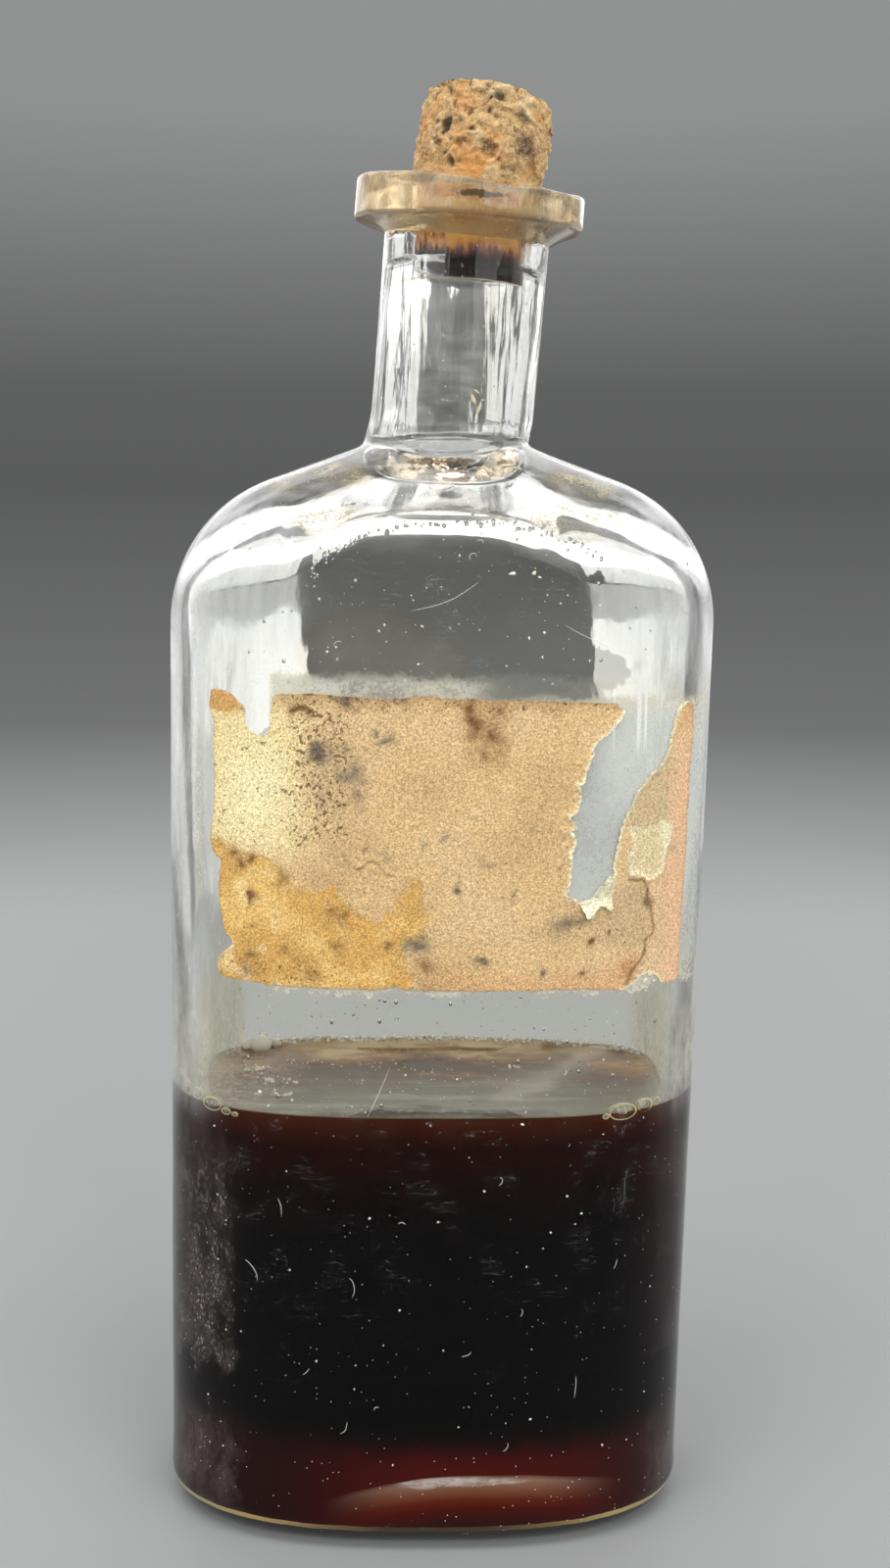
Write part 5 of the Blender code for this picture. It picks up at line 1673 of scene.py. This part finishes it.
# Stuck dirt that stands out: across, height, half width, half height in millimetres, turn and colour.
FLECKS = [
    (7.6, 144.0, 1.15, 0.30, 0.25, (0.34, 0.23, 0.09)), (8.9, 143.6, 0.55, 0.22, -0.5, (0.22, 0.14, 0.06)),
    (8.3, 130.6, 0.45, 0.20, 0.1, (0.90, 0.86, 0.74)), (11.0, 130.7, 0.30, 0.22, 0.4, (0.88, 0.80, 0.58)),
    (11.7, 130.2, 0.22, 0.12, -0.3, (0.92, 0.88, 0.74)), (12.5, 123.4, 0.20, 0.16, 0.0, (0.88, 0.80, 0.60)),
    (-10.9, 129.6, 0.22, 0.20, 0.0, (0.40, 0.19, 0.08)), (-14.3, 120.8, 0.20, 0.18, 0.0, (0.80, 0.68, 0.46)),
    (-3.0, 119.4, 0.16, 0.12, 0.0, (0.85, 0.80, 0.66)), (14.4, 127.0, 0.14, 0.10, 0.0, (0.86, 0.80, 0.66)),
    (27.1, 80.0, 0.42, 0.34, 0.3, (0.88, 0.83, 0.62)), (28.1, 79.0, 0.55, 0.36, -0.2, (0.84, 0.78, 0.58)),
    (27.3, 78.2, 0.40, 0.30, 0.6, (0.80, 0.70, 0.48)), (29.0, 79.7, 0.30, 0.26, 0.0, (0.90, 0.86, 0.66)),
    (26.2, 79.2, 0.26, 0.20, 0.2, (0.62, 0.46, 0.24)), (28.6, 78.0, 0.24, 0.18, 0.0, (0.90, 0.86, 0.66)),
    (-22.5, 63.5, 0.26, 0.20, 0.0, (0.86, 0.84, 0.76)), (-18.2, 62.8, 0.18, 0.14, 0.0, (0.88, 0.86, 0.78)),
]
# The same on the neck: bearing in radians, station along the neck.
NECK_FLECKS = [
    (4.94, 152.6, 0.28, 0.62, 0.35, (0.46, 0.32, 0.12)), (5.02, 151.6, 0.20, 0.75, -0.25, (0.50, 0.36, 0.15)),
    (4.97, 153.6, 0.16, 0.40, 1.0, (0.34, 0.22, 0.08)), (5.00, 164.6, 0.10, 0.26, 0.1, (0.10, 0.07, 0.05)),
    (4.99, 161.6, 0.14, 0.22, 0.4, (0.08, 0.055, 0.04)), (4.55, 157.0, 0.08, 0.08, 0.0, (0.86, 0.84, 0.78)),
]


def build_flecks():
    """Crumbs of dirt, cork and glue stuck to the outside."""
    chance = np.random.default_rng(41)
    verts, faces, tones = [], [], []

    def stick(place, facing, wide, tall, spin, colour):
        size = (wide * MM, tall * MM, 0.6 * min(wide, tall, 0.16) * MM)
        added = pebble(verts, faces, place + facing * 0.01 * MM, facing, size, spin, 0.55)
        tones.extend([colour] * added)

    for across, height, wide, tall, spin, colour in FLECKS:
        stick(*wall_place(across * MM, height * MM), wide, tall, spin, colour)
    for angle, station, wide, tall, spin, colour in NECK_FLECKS:
        stick(*neck_place(angle, station * MM), wide, tall, spin, colour)
    for _ in range(240):
        across, height = chance.uniform(-31, 32), chance.uniform(6, 139)
        back = chance.random() < 0.35
        if not back and 76 < height < 117.5:
            continue
        size = chance.choice([0.05, 0.07, 0.09, 0.13])
        colour = (0.90, 0.88, 0.82) if chance.random() < 0.75 else (0.62, 0.48, 0.28)
        stick(*wall_place(across * MM, height * MM, back), size, size * chance.uniform(0.7, 1.8),
              chance.uniform(0, 3), colour)
    material = dull_finish("stuck_dirt", 0.12, "tone", (0.8, 0.74, 0.6), 0.2, 0.7, 0.95)
    dirt = add_piece("stuck_dirt", verts, faces, [material])
    add_layer(dirt, "tone", tones)


# Hairs and lint lying on the glass: across, height, length in millimetres, bearing and how far each curls.
LINT = [(-22.7, 37.4, 3.4, 1.4, 0.5), (-10.0, 36.2, 3.0, 1.2, 0.9), (8.8, 51.8, 1.5, 0.5, 1.2),
        (19.8, 21.4, 3.2, 1.35, 0.3), (-11.4, 17.0, 2.2, 0.1, 1.4), (-3.2, 46.5, 1.1, 2.0, 0.8),
        (12.2, 33.6, 1.2, 0.9, 1.0), (4.5, 28.2, 1.6, -0.4, 1.1), (-16.4, 25.0, 1.3, 0.6, 0.6),
        (24.6, 39.0, 1.4, 1.0, 0.4), (-6.2, 20.8, 1.0, 2.4, 0.9), (10.4, 14.6, 1.5, 0.2, 0.7),
        (-8.4, 61.0, 7.3, 1.13, 0.05), (3.9, 132.6, 1.9, 1.5, 1.6), (4.6, 134.2, 1.2, 1.1, 1.2),
        (15.0, 124.4, 7.0, -0.55, 0.25), (-4.0, 126.0, 9.0, 0.12, 0.2), (-19.5, 47.0, 2.4, 1.5, 0.3),
        (16.8, 66.5, 1.0, 0.3, 1.0), (-12.5, 122.0, 1.3, 2.6, 0.8)]


def build_lint():
    """Hairs of dust and lint stuck to the glass."""
    steps, sides = 18, 5
    verts, faces = [], []
    for across, height, length, bearing, curl in LINT:
        u, v, heading = across, height, bearing
        for step in range(steps + 1):
            share = step / steps
            place, facing = wall_place(u * MM, v * MM)
            side = Vector((math.cos(heading), 0, math.sin(heading))).cross(facing).normalized()
            radius = 0.038 * MM * (1 - 0.75 * abs(2 * share - 1) ** 3)
            for index in range(sides):
                angle = 2 * math.pi * index / sides
                verts.append(tuple(place + facing * (0.03 * MM + radius * math.sin(angle))
                                   + side * radius * math.cos(angle)))
            if step:
                faces += quads(len(verts) - 2 * sides, len(verts) - sides, sides)
            heading += curl * (0.10 + 0.22 * ripple((across + share * 2, height, length), 0.8, 5))
            u += math.cos(heading) * length / steps
            v += math.sin(heading) * length / steps
    material = dull_finish("lint", 0.6, (0.88, 0.86, 0.82), (0.62, 0.58, 0.52), 0.4, 0.5, 0.8)
    add_piece("lint", verts, faces, [material])


def build_stage():
    """A pale floor that fades into the backdrop."""
    count, radii = 96, (0.05, 0.15, 0.3, 0.6, 1.0, 1.5)
    verts, faces = [(0, 0, 0)], fan(0, 1, count)
    for row, radius in enumerate(radii):
        verts += list(ring((0, 0, 0), 0.0, radius, radius, 2, count))
        if row:
            faces += quads(1 + row * count, 1 + (row - 1) * count, count)
    web = Finish("table")
    x, y = web.axes()[:2]
    away = web.math("SQRT", x * x + y * y)
    web.set(Base_Color=(0.30, 0.305, 0.307), Roughness=0.7, Alpha=away.step(0.22, 0.6, 1.0, 0.0))
    add_mesh("table", verts, faces, [web.material])


# The backdrop's grey from below the horizon to overhead.
BACKDROP = [(0.0, 0.52), (0.12, 0.50), (0.25, 0.17), (0.40, 0.105), (0.46, 0.115), (0.53, 0.18), (0.62, 0.28),
            (1.0, 0.32)]
# Lamps: name, place, the height over the foot that it faces, width, height and how bright its face is.
LAMPS = [
    ("back_box", (0.0, 0.44, 0.47), 0.14, 1.10, 0.46, 1.15),
    ("back_left_box", (-0.303, 0.429, 0.290), 0.14, 0.44, 0.25, 0.80),
    ("middle_left_box", (-0.303, 0.429, 0.122), 0.14, 0.44, 0.078, 0.42),
    ("low_left_box", (-0.303, 0.435, 0.050), 0.14, 0.44, 0.105, 0.52),
    ("back_right_box", (0.319, 0.417, 0.290), 0.14, 0.44, 0.25, 0.80),
    ("middle_right_box", (0.319, 0.417, 0.122), 0.14, 0.44, 0.078, 0.42),
    ("low_right_box", (0.319, 0.423, 0.050), 0.14, 0.44, 0.105, 0.52),
    ("top_box", (0.0, -0.15, 0.70), 0.14, 0.80, 0.20, 5.2),
    ("left_box", (-0.58, 0.0, 0.33), 0.12, 0.50, 0.55, 1.3),
    ("right_box", (0.62, -0.05, 0.33), 0.12, 0.46, 0.55, 1.3),
    ("front_box", (0.36, -0.58, 0.46), 0.10, 0.46, 0.46, 4.3),
    ("fill_box", (-0.42, -0.52, 0.46), 0.10, 0.40, 0.40, 3.8),
]
# The photograph's camera: its place from the foot's middle, the way it looks, its roll and its lens.
CAMERA_ACROSS = -0.0000177
CAMERA_DISTANCE = 0.2076867
CAMERA_HEIGHT = 0.1311133
CAMERA_FORWARD = Vector((0.01089, 0.99002, -0.14053))
CAMERA_ROLL = 0.0094
FOCAL_PIXELS = 1547.0
PHOTO_PIXELS = 1600.0
SENSOR_SIZE = 36.0


def build_world():
    """Even light for all that is dull, and a graded backdrop for the camera and the glass."""
    world = bpy.data.worlds.new("studio")
    bpy.context.scene.world = world
    world.use_nodes = True
    world.node_tree.nodes.clear()
    web = Web(world, "Generated")
    rise = web.node("MapRange", web.axes()[2], From_Min=-0.35, From_Max=0.65)
    grades = [(place, (grey, grey * 1.01, grey * 1.015)) for place, grey in BACKDROP]
    shown = web.node("Background", web.ramp(Value(web, rise.outputs[0]), grades))
    light = web.node("Background", (1.0, 1.0, 1.0), 0.26)
    path = web.node("LightPath")
    rays = [Value(web, path.outputs["Is %s Ray" % kind]) for kind in ("Camera", "Glossy", "Transmission")]
    both = web.node("MixShader", web.most(*rays))
    output = web.node("OutputWorld")
    web.tree.links.new(light.outputs[0], both.inputs[1])
    web.tree.links.new(shown.outputs[0], both.inputs[2])
    web.tree.links.new(both.outputs[0], output.inputs["Surface"])


def softbox(name, place, aim, width, height, radiance):
    """A soft rectangular lamp that faces a height over the foot, given by how bright its face is."""
    lamp = bpy.data.lights.new(name, "AREA")
    lamp.shape = "RECTANGLE"
    lamp.size = width
    lamp.size_y = height
    lamp.energy = radiance * math.pi * width * height
    thing = bpy.data.objects.new(name, lamp)
    thing.location = place
    thing.rotation_euler = (Vector((0, 0, aim)) - Vector(place)).to_track_quat("-Z", "Y").to_euler()
    thing.visible_camera = False
    bpy.context.scene.collection.objects.link(thing)


def build_camera():
    """The photograph's camera: close, a little above the label, tipped down 8 degrees."""
    data = bpy.data.cameras.new("camera")
    data.sensor_width = SENSOR_SIZE
    data.lens = FOCAL_PIXELS / PHOTO_PIXELS * SENSOR_SIZE
    data.clip_start = 0.01
    camera = bpy.data.objects.new("camera", data)
    forward = CAMERA_FORWARD.normalized()
    level = forward.cross(Vector((0, 0, 1))).normalized()
    rise = level.cross(forward)
    right = level * math.cos(CAMERA_ROLL) + rise * math.sin(CAMERA_ROLL)
    top = rise * math.cos(CAMERA_ROLL) - level * math.sin(CAMERA_ROLL)
    turn = Matrix((right, top, -forward)).transposed().to_4x4()
    place = (BASE_X + CAMERA_ACROSS, BASE_Y - CAMERA_DISTANCE, CAMERA_HEIGHT)
    camera.matrix_world = Matrix.Translation(place) @ turn
    bpy.context.scene.collection.objects.link(camera)
    bpy.context.scene.camera = camera


for thing in list(bpy.data.objects):
    if thing.type in ("LIGHT", "CAMERA"):
        bpy.data.objects.remove(thing)
build_glass()
build_liquid()
build_cork()
build_label()
build_seeds()
build_froth()
build_flecks()
build_lint()
build_stage()
build_world()
for lamp in LAMPS:
    softbox(*lamp)
build_camera()
bpy.context.scene.view_settings.view_transform = "Standard"
